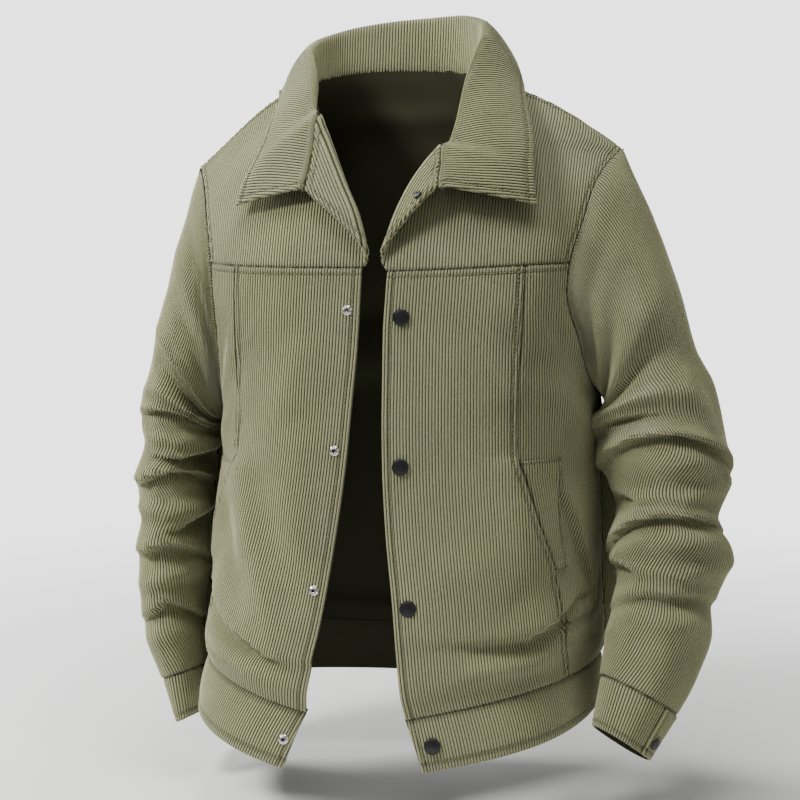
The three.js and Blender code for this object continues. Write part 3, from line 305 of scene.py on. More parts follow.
# The collar from the middle of the back to its corner: up from the root, height and radius of its fold, the
# leaf's edge, how far the leaf bows, and the root's place
COLLAR = {
  "left": table("share head_x head_y head_z stand radius x y z bow gap inset",
    [0, 0, 0.16, 1, 44, 6, -18, 112, -6, 3, 0.4, 2.6],
    [0.2, 0, 0.2, 1, 51, 6, 52, 110, -2, 3, 0.4, 2.6],
    [0.32, 0.02, 0.12, 1, 48, 6, 93, 66, 10, 3, 0.4, 2.6],
    [0.42, -0.02, -0.05, 1, 34, 6.5, 113, 20, -12, 3, 0.5, 2.6],
    [0.6, -0.3, -0.45, 0.85, 9, 6.5, 127, -30, -40, 4, 1, 2.4],
    [0.74, -0.3, -0.8, 0.55, 2, 6, 138, -66, -70, 5, 1.6, 1.6],
    [0.8, -0.15, -0.88, 0.47, 1, 5.5, 141, -84, -90, 5, 1.6, 0],
    [0.9, 0, -0.9, 0.44, 0.6, 5, 144, -97, -112, 4, 1, -1],
    [1, 0, -0.9, 0.44, 0.4, 5, 147, -103, -128, 2, 0.6, -1]),
  "right": table("share head_x head_y head_z stand radius x y z bow gap inset",
    [0, 0, 0.16, 1, 44, 6, -18, 112, -6, 3, 0.4, 2.6],
    [0.2, -0.16, 0.2, 1, 38, 6, -100, 106, -12, 3, 0.4, 2.6],
    [0.32, -0.2, 0.1, 1, 33, 6, -131, 66, -8, 3, 0.4, 2.6],
    [0.42, -0.02, -0.05, 1, 25, 6.5, -129, 20, -24, 3, 0.5, 2.6],
    [0.6, 0.3, -0.45, 0.85, 9, 6.5, -125, -26, -44, 4, 1, 2.4],
    [0.74, 0.3, -0.8, 0.55, 2, 6, -129, -60, -74, 5, 1.6, 1.6],
    [0.8, 0.15, -0.88, 0.47, 1, 5.5, -135, -76, -94, 5, 1.6, 0],
    [0.9, 0, -0.9, 0.44, 0.6, 5, -142, -90, -114, 4, 1, -1],
    [1, 0, -0.9, 0.44, 0.4, 5, -145, -98, -132, 2, 0.6, -1]),
}


# Creases and ridges of the cloth: width and height in mm, then the path.
# On the body the places of a path are (across, level), and on the back across is -1 to 1 from side to side.
BODY_LINES = {
    "left": [
        (15, -12, [(0.14, -532), (0.30, -533), (0.45, -535), (0.58, -525), (0.74, -508)]),
        (17, 6, [(0.05, -562), (0.25, -558), (0.45, -560), (0.62, -548), (0.80, -535)]),
        (13, -5, [(0.10, -586), (0.30, -580), (0.50, -582), (0.70, -588)]),
        (20, -7, [(0.60, -380), (0.70, -430), (0.80, -480), (0.86, -520)]),
        (24, 5, [(0.36, -400), (0.44, -450), (0.50, -500)]),
        (26, 4, [(0.10, -455), (0.26, -480), (0.40, -505)]),
        (22, -3, [(0.95, -330), (0.80, -290), (0.62, -262), (0.45, -246)]),
        (20, 2.6, [(0.92, -352), (0.75, -322), (0.58, -300)]),
        (16, -2.6, [(0.98, -300), (0.88, -262), (0.80, -225)]),
        (14, -3, [(0.88, -560), (0.93, -525), (0.96, -480)]),
        (30, 3, [(0.20, -330), (0.24, -290), (0.26, -240)]),
    ],
    "right": [
        (11, 6, [(0.58, -548), (0.42, -558), (0.26, -570), (0.12, -578), (0.04, -580)]),
        (13, -14, [(0.66, -505), (0.50, -523), (0.40, -532), (0.29, -541), (0.16, -553), (0.06, -557), (0.02, -556)]),
        (18, 6, [(0.50, -352), (0.44, -400), (0.33, -450), (0.20, -505), (0.08, -545)]),
        (20, -6, [(0.40, -370), (0.30, -420), (0.17, -470), (0.06, -520)]),
        (16, -4, [(0.62, -400), (0.53, -440), (0.44, -480), (0.34, -515)]),
        (22, -3, [(0.93, -335), (0.78, -300), (0.62, -275), (0.46, -262)]),
        (20, 2.6, [(0.90, -360), (0.74, -335), (0.58, -318)]),
        (14, -2.6, [(0.98, -310), (0.90, -270), (0.82, -235)]),
        (30, 3, [(0.20, -330), (0.25, -285), (0.26, -240)]),
        (16, -4, [(0.80, -470), (0.84, -500), (0.86, -540)]),
    ],
}
BACK_LINES = [
    (20, -6, [(-0.92, -300), (-0.60, -262), (-0.25, -246), (0.02, -243)]),
    (18, -4, [(0.90, -292), (0.62, -250), (0.34, -228), (0.10, -220)]),
    (22, 4, [(-0.85, -345), (-0.50, -305), (-0.10, -292), (0.35, -300), (0.80, -338)]),
    (17, -6, [(-0.90, -540), (-0.55, -528), (-0.20, -536), (0.08, -530)]),
    (17, -6, [(0.88, -528), (0.55, -542), (0.22, -532), (0.02, -544)]),
    (18, 6, [(-0.86, -570), (-0.40, -562), (0.05, -568), (0.50, -560), (0.88, -566)]),
    (26, 5, [(-0.40, -400), (-0.30, -450), (-0.34, -505)]),
    (24, -4, [(0.30, -380), (0.38, -440), (0.30, -500)]),
    (22, -4, [(-0.66, -400), (-0.58, -450), (-0.64, -500)]),
    (24, 4, [(0.66, -410), (0.58, -460), (0.62, -510)]),
    (15, -3, [(-0.96, -262), (-0.82, -215), (-0.66, -170)]),
    (15, -3, [(0.96, -268), (0.84, -218), (0.70, -176)]),
    (13, -3.5, [(-0.30, -60), (0.00, -66), (0.28, -58)]),
]
# On the sleeves the places are (turn, run): turn 0 is the outer line, 0.25 the front, and run goes down.
SLEEVE_LINES = {
    "left": [
        (8, -7, [(0.47, 268), (0.38, 274), (0.29, 282)]),
        (15, 5, [(0.45, 236), (0.34, 240), (0.22, 246), (0.10, 262)]),
        (10, -13, [(0.48, 332), (0.40, 326), (0.31, 321), (0.21, 315), (0.12, 316), (-0.03, 322)]),
        (13, 6, [(0.40, 346), (0.28, 345), (0.16, 340), (0.05, 332)]),
        (7, 6.5, [(0.34, 371), (0.27, 370), (0.19, 370), (0.10, 356), (0.00, 336)]),
        (7, -10, [(0.49, 352), (0.41, 364), (0.32, 377)]),
        (10, -13, [(0.47, 405), (0.38, 398), (0.32, 394), (0.23, 392), (0.13, 387), (0.03, 380)]),
        (13, 6, [(0.44, 424), (0.30, 418), (0.16, 414), (0.05, 404)]),
        (7, 6, [(0.38, 438), (0.27, 442), (0.18, 441), (0.07, 425), (-0.02, 404)]),
        (7, -10, [(0.49, 420), (0.40, 434), (0.32, 450)]),
        (11, -8.5, [(0.47, 466), (0.34, 466), (0.22, 464), (0.08, 452), (-0.06, 438)]),
        (12, 4, [(0.45, 500), (0.32, 486), (0.18, 484), (0.04, 474)]),
        (9, -4, [(0.41, 490), (0.34, 491), (0.28, 489)]),
        (17, -5, [(0.44, 120), (0.34, 96), (0.24, 84), (0.13, 92)]),
        (16, 4, [(0.42, 160), (0.32, 136), (0.22, 128), (0.10, 140)]),
        (14, -4, [(0.38, 62), (0.30, 46), (0.22, 52), (0.13, 66)]),
        (20, -5, [(0.44, 206), (0.33, 184), (0.22, 184), (0.11, 200)]),
        (14, -3.5, [(0.06, 206), (0.08, 244), (0.06, 286)]),
        (16, 3, [(0.14, 20), (0.08, 60), (0.02, 104)]),
        (34, 8, [(0.5, 150), (0.5, 240), (0.5, 350)]),
    ],
    "right": [
        (10, -9, [(0.10, 262), (0.17, 258), (0.25, 243), (0.33, 228), (0.42, 232)]),
        (9, 7, [(0.12, 284), (0.20, 291), (0.30, 290), (0.40, 276), (0.49, 262)]),
        (9, -17, [(0.24, 312), (0.33, 309), (0.40, 296), (0.49, 279)]),
        (10, -12, [(0.06, 334), (0.18, 338), (0.30, 328), (0.41, 322), (0.50, 318)]),
        (8, 7.5, [(0.04, 356), (0.16, 368), (0.28, 374), (0.38, 364), (0.49, 346)]),
        (8, -11, [(0.28, 392), (0.34, 386), (0.42, 370), (0.49, 356)]),
        (10, -12, [(0.08, 406), (0.20, 411), (0.31, 403), (0.45, 404)]),
        (8, 7, [(0.10, 436), (0.22, 440), (0.37, 430), (0.48, 412)]),
        (10, -10, [(0.10, 470), (0.21, 469), (0.30, 460), (0.38, 467), (0.49, 477)]),
        (11, 4, [(0.10, 492), (0.26, 490), (0.42, 496)]),
        (11, -6.2, [(0.30, 22), (0.22, 40), (0.14, 52), (0.06, 66)]),
        (9, 5.5, [(0.34, 34), (0.26, 50), (0.16, 76), (0.06, 96)]),
        (11, -6.4, [(0.38, 60), (0.30, 70), (0.20, 96), (0.08, 126)]),
        (9, 6, [(0.42, 100), (0.32, 112), (0.20, 140), (0.08, 166)]),
        (11, -6.4, [(0.46, 150), (0.36, 158), (0.24, 176), (0.12, 200)]),
        (9, 6, [(0.46, 190), (0.34, 196), (0.22, 212), (0.10, 232)]),
    ],
}
# The sides of the sleeves that the photo doesn't show, turn 0.5 to 1: like the shown ones, but softer.
SLEEVE_BACK_LINES = {
    "left": [
        (11, -6, [(0.53, 300), (0.66, 288), (0.80, 296), (0.95, 312)]),
        (14, 5, [(0.55, 330), (0.68, 320), (0.82, 326), (0.96, 336)]),
        (10, -7, [(0.52, 372), (0.64, 360), (0.78, 358), (0.92, 366)]),
        (13, 5, [(0.55, 398), (0.70, 386), (0.86, 388)]),
        (10, -6, [(0.53, 436), (0.66, 424), (0.82, 420), (0.95, 414)]),
        (13, 4, [(0.55, 462), (0.72, 452), (0.90, 448)]),
        (11, -4, [(0.56, 494), (0.70, 484), (0.88, 480)]),
        (17, -5, [(0.56, 110), (0.68, 90), (0.80, 96), (0.90, 118)]),
        (17, 4, [(0.56, 160), (0.68, 140), (0.82, 150)]),
        (18, -4, [(0.56, 224), (0.68, 204), (0.82, 212), (0.94, 236)]),
        (34, 8, [(0.5, 150), (0.5, 240), (0.5, 350)]),
    ],
    "right": [
        (11, -6, [(0.52, 270), (0.64, 276), (0.78, 266), (0.92, 272)]),
        (14, 5, [(0.54, 300), (0.68, 304), (0.84, 298)]),
        (10, -7, [(0.53, 336), (0.66, 342), (0.80, 334), (0.94, 342)]),
        (13, 5, [(0.54, 366), (0.70, 370), (0.88, 364)]),
        (10, -6, [(0.53, 402), (0.66, 396), (0.82, 404), (0.95, 408)]),
        (13, 4, [(0.55, 430), (0.72, 428), (0.90, 436)]),
        (11, -5, [(0.54, 466), (0.70, 460), (0.88, 468)]),
        (17, -5, [(0.58, 100), (0.70, 80), (0.82, 88), (0.92, 112)]),
        (17, 4, [(0.58, 146), (0.70, 128), (0.84, 138)]),
        (18, -4, [(0.56, 204), (0.70, 190), (0.84, 198)]),
    ],
}


def side_point(side, level, arm):
    """The side seam below the armpit and the armhole above it."""
    low = read_point(SIDE[side], "level", level)
    high = read_point(arm[side], "level", level)
    return np.where((level <= ARMPIT_LEVEL)[..., None], low, high)


def bezier(p0, p1, p2, p3, t):
    t = t[..., None]
    s = 1 - t
    return s**3 * p0 + 3 * s * s * t * p1 + 3 * s * t * t * p2 + t**3 * p3


def distance_to_line(x, y, points, spread_x=1.0):
    """Distance of places (x, y) from a line through the points, share along it, and the side they are on."""
    best = np.full(np.shape(x), 1e9)
    along, side = np.zeros(np.shape(x)), np.zeros(np.shape(x))
    lengths = [math.hypot((b[0] - a[0]) * spread_x, b[1] - a[1]) for a, b in zip(points, points[1:])]
    total, done = sum(lengths), 0.0
    for a, b, length in zip(points, points[1:], lengths):
        dx, dy = (b[0] - a[0]) * spread_x, b[1] - a[1]
        px, py = (x - a[0]) * spread_x, y - a[1]
        t = np.clip((px * dx + py * dy) / (length * length), 0, 1)
        d = np.hypot(px - t * dx, py - t * dy)
        nearer = d < best
        best = np.where(nearer, d, best)
        along = np.where(nearer, (done + t * length) / total, along)
        side = np.where(nearer, np.sign(py - t * dy), side)
        done += length
    return best, along, side


# Sizes of the folds, in mm
HANGING = -6.5  # a crease deeper than this hangs over
HANG_STEP = 2.2  # width of the step where it does
FRONT_WIDTH, BACK_WIDTH, SLEEVE_ROUND = 230, 210, 330  # what one unit across stands for in a fold's path
SLEEVE_GAIN = 1.3  # folds of the sleeves stand out more than their tables say


def relief(lines, x, y, spread_x, up=1):
    """Sum of soft creases and ridges: each has a path, a width in mm and a height, and fades to its ends.

    A crease deeper than HANGING is a fold that hangs over: the cloth above it stands out, that below is tucked in.
    """
    height = np.zeros(np.broadcast(x, y).shape)
    for width, tall, points in lines:
        d, along, side = distance_to_line(x, y, points, spread_x)
        ends = np.sin(np.pi * np.clip(along, 0.04, 0.96)) ** 0.7
        if tall > HANGING:
            height += tall * ends * np.exp(-((d / width) ** 2))
        else:
            step = 0.15 - 0.65 * np.tanh(up * side * d / HANG_STEP)
            height += tall * ends * step * np.exp(-((d / (1.5 * width)) ** 1.6))
    return height


def front_point(side, across, level):
    """A front: 0 at the front edge, 1 at the side seam or armhole."""
    across, level = np.broadcast_arrays(np.asarray(across, float), np.asarray(level, float))
    s = SIGN[side]
    edge = read_point(EDGE[side], "level", level)
    end = side_point(side, level, ARM_FRONT)
    shape = lambda column: read(FRONT_SHAPE, "level", level, column)
    chord = np.linalg.norm(end - edge, axis=-1)
    edge_turn, side_turn = np.radians(shape("edge_turn")), np.radians(shape("side_turn"))
    edge_reach, side_reach = shape("edge_hold") * chord, shape("side_hold") * chord
    rise = shape("edge_rise") * (end[..., 2] - edge[..., 2])
    p1 = edge + vec(s * np.cos(edge_turn) * edge_reach, np.sin(edge_turn) * edge_reach, rise)
    drop = np.where(level < ARMPIT_LEVEL, 0,
                    (end[..., 2] - edge[..., 2]) * 0.33 * smooth((level + 200) / 200))
    p2 = end - vec(s * np.cos(side_turn) * side_reach, np.sin(side_turn) * side_reach, drop)
    point = bezier(edge, p1, p2, end, across)
    point[..., 2] += shape("crown") * 4 * across * (1 - across)
    fade = smooth((level - BAND_LEVEL) / 14) * smooth((1 - across) / 0.08)
    height = relief(BODY_LINES[side], across, level, FRONT_WIDTH) * fade
    outward = unit(vec(point[..., 0] * 0.8, point[..., 1], 0))
    return point + outward * height[..., None]


def top_seam(side, along):
    """Upper edge of the back: the shoulder seam, then the neckline to the middle."""
    along = np.asarray(along, float)
    zero = np.zeros_like(along)
    shoulder = front_point(side, np.clip(1 - along / SHOULDER_SHARE, 0, 1), zero)
    neck = read_point(EDGE[side], "level", zero)
    middle = read_point(BACK_MIDDLE, "level", zero)
    reach = np.abs(neck[..., 0] - middle[..., 0])
    s = SIGN[side]
    p1 = neck + vec(-s * 0.06 * reach, 42, 6)
    p2 = middle + vec(s * 0.62 * reach, 0, 0)
    t = np.clip((along - SHOULDER_SHARE) / (1 - SHOULDER_SHARE), 0, 1)
    return np.where((along <= SHOULDER_SHARE)[..., None], shoulder, bezier(neck, p1, p2, middle, t))


def back_point(side, across, level):
    """Half of the back: 0 at the side seam or armhole, 1 at the middle."""
    across, level = np.broadcast_arrays(np.asarray(across, float), np.asarray(level, float))
    s = SIGN[side]

    def row(at, hold_level):
        start = side_point(side, at, ARM_BACK)
        middle = read_point(BACK_MIDDLE, "level", at)
        shape = lambda column: read(BACK_SHAPE, "level", hold_level, column)
        chord = np.linalg.norm(start - middle, axis=-1)
        turn = np.radians(shape(f"{side}_turn"))
        reach = shape("side_hold") * chord
        p1 = vec(start[..., 0] - s * np.cos(turn) * reach, start[..., 1] + np.sin(turn) * reach,
                 mix(start[..., 2], middle[..., 2], 0.2))
        p2 = middle + vec(s * shape("middle_hold") * chord, 0, 0)
        return bezier(start, p1, p2, middle, across)

    point = row(level, level)
    zero = np.zeros_like(level)
    share = smooth((level + 110) / 110)[..., None]
    point = point + share * (top_seam(side, across) - row(zero, zero))
    fade = smooth((level - BAND_LEVEL) / 14) * smooth(across / 0.1) * smooth(-level / 40)
    height = relief(BACK_LINES, s * (1 - across), level, BACK_WIDTH) * fade
    outward = unit(vec(point[..., 0] * 0.8, point[..., 1], 0))
    return point + outward * height[..., None]


def around(surface, a, b, da, db):
    """Normal of a surface given by a function of two values."""
    along_a = surface(a + da, b) - surface(a - da, b)
    along_b = surface(a, b + db) - surface(a, b - db)
    return unit(np.cross(along_a, along_b))


def lapel_width(along):
    along = np.asarray(along, float)
    return np.where(along <= LAPEL_PEAK, LAPEL_WIDTH * along / LAPEL_PEAK,
                    LAPEL_WIDTH * (1 - along) / (1 - LAPEL_PEAK))


# Radius of the roll and how far the lapel turns back, in degrees
LAPEL = {"left": (4.5, 150), "right": (3.5, 172)}


def lapel_point(side, along, out):
    """Turned-out cloth beside the roll line: place along that line and flat distance from it."""
    along, out = np.broadcast_arrays(np.asarray(along, float), np.asarray(out, float))
    level = mix(YOKE_LEVEL, ROLL_TOP_LEVEL, along)
    root = front_point(side, 0 * level, level)
    roll = unit(front_point(side, 0 * level, level + 2) - front_point(side, 0 * level, level - 2))
    into = front_point(side, 0 * level + 0.04, level) - root
    into = unit(into - roll * np.sum(into * roll, -1, keepdims=True))
    normal = unit(np.cross(into, roll) * SIGN[side])
    radius, turn = LAPEL[side]
    full = math.radians(turn) * np.minimum(1, lapel_width(along) / 16 + 0.35)
    angle = np.minimum(out / radius, full)
    rest = np.maximum(out - radius * full, 0)
    step_in = (-radius * np.sin(angle) - rest * np.cos(full))[..., None]
    step_out = (radius * (1 - np.cos(angle)) + rest * np.sin(full))[..., None]
    return root + into * step_in + normal * step_out


def neck_point(side, share):
    """Root of the collar, from the middle of the back to the lapel's corner."""
    share = np.asarray(share, float)
    back = top_seam(side, mix(1, SHOULDER_SHARE, np.clip(share / NECK_SHOULDER, 0, 1)))
    part = np.clip((share - NECK_SHOULDER) / (NECK_ROLL - NECK_SHOULDER), 0, 1)
    front = front_point(side, 0 * share, ROLL_TOP_LEVEL * part)
    along = mix(1, LAPEL_PEAK, np.clip((share - NECK_ROLL) / (1 - NECK_ROLL), 0, 1))
    lapel = lapel_point(side, along, lapel_width(along))
    picked = np.where((share < NECK_SHOULDER)[..., None], back, front)
    return np.where((share >= NECK_ROLL)[..., None], lapel, picked)


def band_point(around_body, down):
    """The hem band from the left front edge round the back to the right one."""
    around_body, down = np.broadcast_arrays(np.asarray(around_body, float), np.asarray(down, float))
    front, low = 0.27, np.full(around_body.shape, float(BAND_LEVEL))
    left = front_point("left", np.clip(around_body / front, 0, 1), low)
    right = front_point("right", np.clip((1 - around_body) / front, 0, 1), low)
    back = (around_body - front) / (0.5 - front)
    back_left = back_point("left", np.clip(back, 0, 1), low)
    back_right = back_point("right", np.clip(2 - back, 0, 1), low)
    r = around_body[..., None]
    point = np.where(r <= front, left, np.where(r >= 1 - front, right,
                                                np.where(r <= 0.5, back_left, back_right)))
    outward = unit(vec(point[..., 0] * 0.8, point[..., 1], 0))
    point = point + read_point(BAND_DROP, "round", around_body) * down[..., None]
    return point + outward * (3 * np.sin(np.pi * np.clip(down, 0, 1)))[..., None]


def ring_values(side, run):
    return {c: read(SLEEVE[side], "run", run, c) for c in SLEEVE[side]}


def ring_point(ring, lean, angle):
    """Point of an oval ring between its outer and inner ends, leaning forwards."""
    out = vec(ring["out_x"], ring["y"], ring["out_z"])
    inside = vec(ring["in_x"], ring["y"], ring["in_z"])
    front = vec(0, -np.cos(lean), np.sin(lean))
    point = (out + inside) / 2 + (out - inside) / 2 * np.cos(angle)[..., None]
    point = point + front * (ring["depth"] * np.sin(angle))[..., None]
    point[..., 2] += ring["rise"] * np.sin(angle)
    return point


def sleeve_lean(side, run):
    """Angle by which the sleeve leans forwards, from the rings 30 mm above and below."""
    above, below = ring_values(side, run - 30), ring_values(side, run + 30)
    drop = (above["out_z"] + above["in_z"] - below["out_z"] - below["in_z"]) / 2
    return np.arctan2(above["y"] - below["y"], np.maximum(drop, 10))


def armhole_by_angle(side):
    """The armhole by the angle round the sleeve: 0 at the shoulder tip, a half turn at the armpit."""
    level = np.linspace(0, ARMPIT_LEVEL, 240)
    front = read_point(ARM_FRONT[side], "level", level)
    back = read_point(ARM_BACK[side], "level", level)
    middle, half = (front[0, 2] + front[-1, 2]) / 2, (front[0, 2] - front[-1, 2]) / 2
    on_front = np.arccos(np.clip((front[:, 2] - middle) / half, -1, 1))
    on_back = 2 * np.pi - np.arccos(np.clip((back[:, 2] - middle) / half, -1, 1))
    angle = np.concatenate([on_front, on_back[::-1][1:]])
    points = np.concatenate([front, back[::-1][1:]])
    keep = np.concatenate([[True], np.diff(angle) > 1e-4])
    return angle[keep], points[keep]


ARMHOLE = {side: armhole_by_angle(side) for side in SIGN}


def armhole_point(side, angle):
    at, points = ARMHOLE[side]
    angle = np.mod(angle, 2 * np.pi)
    return np.stack([np.interp(angle, at, points[:, k], period=2 * np.pi) for k in range(3)], -1)


def sleeve_point(side, turn, run, folded=True):
    """Turn 0 is the outer line, 0.25 the front, 0.5 the seam under the arm; run goes down the outer line."""
    turn, run = np.broadcast_arrays(np.asarray(turn, float), np.asarray(run, float))
    ring = ring_values(side, run)
    angle = turn * 2 * np.pi
    on_ring = ring_point(ring, sleeve_lean(side, run), angle)
    share = np.sin(np.pi / 2 * np.clip(run / 150, 0, 1))[..., None]
    point = mix(armhole_point(side, angle), on_ring, share)
    if not folded:
        return point
    middle = vec((ring["out_x"] + ring["in_x"]) / 2, ring["y"], 0)
    outward = unit((point - middle) * (1, 1, 0))
    height = relief(SLEEVE_LINES[side], turn - np.round(turn), run, SLEEVE_ROUND, -1)
    height += relief(SLEEVE_BACK_LINES[side], turn - np.floor(turn), run, SLEEVE_ROUND, -1)
    end = SLEEVE[side]["run"][-1]
    fade = smooth((end - run) / 22) * smooth(run / 12)
    return point + outward * (SLEEVE_GAIN * height * fade)[..., None]


CUFF_END = {
    "left": dict(out_x=256, out_z=-659, in_x=201, in_z=-629, y=-84, depth=38),
    "right": dict(out_x=-231, out_z=-668, in_x=-202, in_z=-652, y=-17, depth=52),
}
CUFF_START = {"left": 0.03, "right": -0.13}


def cuff_point(side, part, down):
    """Part 0 is the cuff's under end, 1 + CUFF_LAP its lapping end; down 1 is its lower edge."""
    part, down = np.broadcast_arrays(np.asarray(part, float), np.asarray(down, float))
    end = np.full(part.shape, SLEEVE[side]["run"][-1])
    top = ring_values(side, end)
    ring = {c: mix(top[c], CUFF_END[side][c], down) for c in CUFF_END[side]}
    ring["rise"] = np.zeros(part.shape)
    turn = CUFF_START[side] + part
    point = ring_point(ring, sleeve_lean(side, end), turn * 2 * np.pi)
    middle = vec((ring["out_x"] + ring["in_x"]) / 2, ring["y"], (ring["out_z"] + ring["in_z"]) / 2)
    lift = -1.4 + smooth((part - 0.8) / 0.2) * (BAND_CLOTH + 0.5)
    return point + unit(point - middle) * lift[..., None]


LEAF_CLEARANCE = COLLAR_CLOTH + 1.6
LEAF_EASE, LEAF_REACH = 3, 16  # softness of the lift, and how far aside the cloth below still counts


def body_normal(surface, side, across, level):
    """Normal of a front or back, kept clear of its edges."""
    inside = np.clip(level, BAND_LEVEL + 2, -2)
    place = np.clip(across, 0.02, 0.98)
    on_side = lambda a, b: surface(side, a, b)
    return around(on_side, place, inside, 0.01, 1.5) * SIGN[side]


def under_leaf(side):
    """Points and normals of the cloth that the collar's leaf lies on."""
    points, normals = [], []
    for surface, lowest, rows in ((front_point, YOKE_LEVEL, 37), (back_point, -110, 17)):
        across, level = np.meshgrid(np.linspace(0, 1, 41), np.linspace(lowest, 0, rows))
        points.append(surface(side, across, level).reshape(-1, 3))
        normals.append(body_normal(surface, side, across, level).reshape(-1, 3))
    return np.concatenate(points), np.concatenate(normals)


UNDER_LEAF = {side: under_leaf(side) for side in SIGN}


def laid_over(side, point):
    """Lays points of the leaf on the cloth below, at least the leaf's clearance out."""
    points, normals = UNDER_LEAF[side]
    flat = point.reshape(-1, 3)
    lifted = flat.copy()
    for i in range(0, len(flat), 2000):
        some = flat[i:i + 2000]
        away = ((some[:, None, :] - points[None, :, :]) ** 2).sum(-1)
        order = np.argsort(away, axis=1)[:, :6]
        weight = 1 / (np.take_along_axis(away, order, 1) + 4)
        weight /= weight.sum(1, keepdims=True)
        near = (points[order] * weight[..., None]).sum(1)
        normal = unit((normals[order] * weight[..., None]).sum(1))
        offset = some - near
        height = (offset * normal).sum(-1)
        aside = np.linalg.norm(offset - normal * height[:, None], axis=-1)
        short = LEAF_CLEARANCE + LEAF_EASE - height
        lift = np.where(short > 2 * LEAF_EASE, short - LEAF_EASE, np.maximum(short, 0) ** 2 / (4 * LEAF_EASE))
        lifted[i:i + 2000] = some + normal * (lift * smooth((LEAF_REACH - aside) / 8))[:, None]
    return lifted.reshape(point.shape)


def collar_point(side, share, part):
    """Point of the collar. Part 0 to 1 is the stand, 1 to 2 the fold and 2 to 3 the leaf."""
    share, part = np.broadcast_arrays(np.asarray(share, float), np.asarray(part, float))
    column = lambda name: read(COLLAR[side], "share", share, name)
    stand, radius = column("stand"), column("radius")
    tip = vec(column("x"), column("y"), column("z"))
    head = unit(vec(column("head_x"), column("head_y"), column("head_z")))
    dot = lambda v, w: (v * w).sum(-1)
    root = neck_point(side, share) + head * column("gap")[..., None]
    outward = tip - root
    outward = unit(outward - head * dot(outward, head)[..., None])
    root = root - outward * column("inset")[..., None]
    reach = tip - root
    a, b = dot(reach, head) - stand, dot(reach, outward) - radius
    length = np.sqrt(np.maximum(a * a + b * b - radius * radius, 1))
    fold = np.arctan2(b, a) + np.arctan2(radius, length)
    up = stand * np.clip(part, 0, 1) + 10 * np.minimum(part, 0)
    angle = fold * np.clip(part - 1, 0, 1)
    t = np.clip(part - 2, 0, 1)
    up = up + radius * np.sin(angle)
    out = radius * (1 - np.cos(angle))
    bow = column("bow") * 4 * t * (1 - t)
    up = up + length * t * np.cos(fold) + bow * np.sin(fold)
    out = out + length * t * np.sin(fold) - bow * np.cos(fold)
    point = root + head * up[..., None] + outward * out[..., None]
    leaf = laid_over(side, point)
    return np.where((part > 2)[..., None], leaf, point)


# Corduroy: ribs a pitch apart in mm, each drawn by four columns of points at a place and a height
PITCH = 3.0
PHASE = np.array([0, 0.2, 0.5, 0.8])
RIB = np.array([-0.95, 0.22, 0.55, 0.22])
TUCK = 3.8  # how far the hem band goes on under the panels


def cumulative(points):
    """Length along the last but one axis of rows of points."""
    step = np.linalg.norm(np.diff(points, axis=-2), axis=-1)
    return np.concatenate([np.zeros(step.shape[:-1] + (1,)), np.cumsum(step, -1)], -1)


def vertex_normals(points, quads):
    """Smooth normals of a net of points; quads holds ids, some of them equal."""
    a, b, c, d = (points[quads[:, k]] for k in range(4))
    face = np.cross(c - a, d - b)
    normals = np.zeros_like(points)
    for k in range(4):
        for axis in range(3):
            normals[:, axis] += np.bincount(quads[:, k], face[:, axis], len(points))
    return unit(normals)


def row_places(first, last, step, extra=()):
    """Places of the rows: even, closer at both ends, and at stitch lines."""
    way = 1 if last > first else -1
    count = max(2, int(round(abs(last - first) / step)))
    even = np.linspace(0, abs(last - first), count + 1)
    near = [1.0, 2.4, 4.2]
    span = abs(last - first)
    some = list(even) + [n for n in near if n < span / 2] + [span - n for n in near if n < span / 2]
    some += [e + side for e in extra for side in (-1.1, 0, 1.1) if 1.1 < e < span - 1.1]
    some = np.unique(np.round(some, 2))
    keep = [some[0]]
    for value in some[1:]:
        if value - keep[-1] > 0.7:
            keep.append(value)
    keep[-1] = span
    return first + way * np.array(keep)


def seam_dip(d):
    return -1.2 * (1 - smooth(d / 2.0))


def tucked_under(d):
    """A piece that goes on for TUCK mm under its neighbour beyond the seam line."""
    return -2.4 * (1 - smooth(d / 6.0))


def turned_edge(d):
    t = 1 - np.clip(d / 1.7, 0, 1)
    return -1.15 * (1 - np.sqrt(np.clip(1 - t * t, 0, 1)))


def stitch_groove(d, at):
    return -0.9 * np.exp(-((d - at) / 1.0) ** 2)


def painted_shade_line(d, at, wide=1.1):
    """Painted shade that lies in a seam or along a line of stitches."""
    return np.exp(-(((d - at) / wide) ** 2))


def pucker(d, points):
    """Short waves beside a seam; they follow the place, so both pieces at a seam have the same ones."""
    x, y, z = np.moveaxis(points, -1, 0)
    along = x + 0.6 * y + 1.1 * z
    wave = np.sin(along / 1.45 + 1.9 * np.sin((x - y + z) / 17.0)) + 0.6 * np.sin(along / 3.1 + 2)
    return 0.36 * wave * np.exp(-np.maximum(d, 0) / 4.5)


def gentle(s, r, seed):
    """Unevenness of the cloth over a hand's width."""
    return (0.55 * np.sin(s / 31.0 + 1.3 * np.sin(r / 57.0 + seed) + seed)
            + 0.45 * np.sin(r / 26.0 + 1.1 * np.sin(s / 43.0 - seed) + 2 * seed)
            + 0.22 * np.sin(s / 11.0 + r / 15.0 + 3 * seed))


def width_across(points):
    """Length along rows of points, measured square to the columns: ribs stay a pitch apart on slanting rows."""
    down = unit(np.gradient(points, axis=0))
    down = unit(down[:, 1:] + down[:, :-1])
    step = np.diff(points, axis=1)
    step = np.linalg.norm(step - down * np.sum(step * down, -1, keepdims=True), axis=-1)
    return np.concatenate([np.zeros((len(points), 1)), np.cumsum(step, -1)], -1)


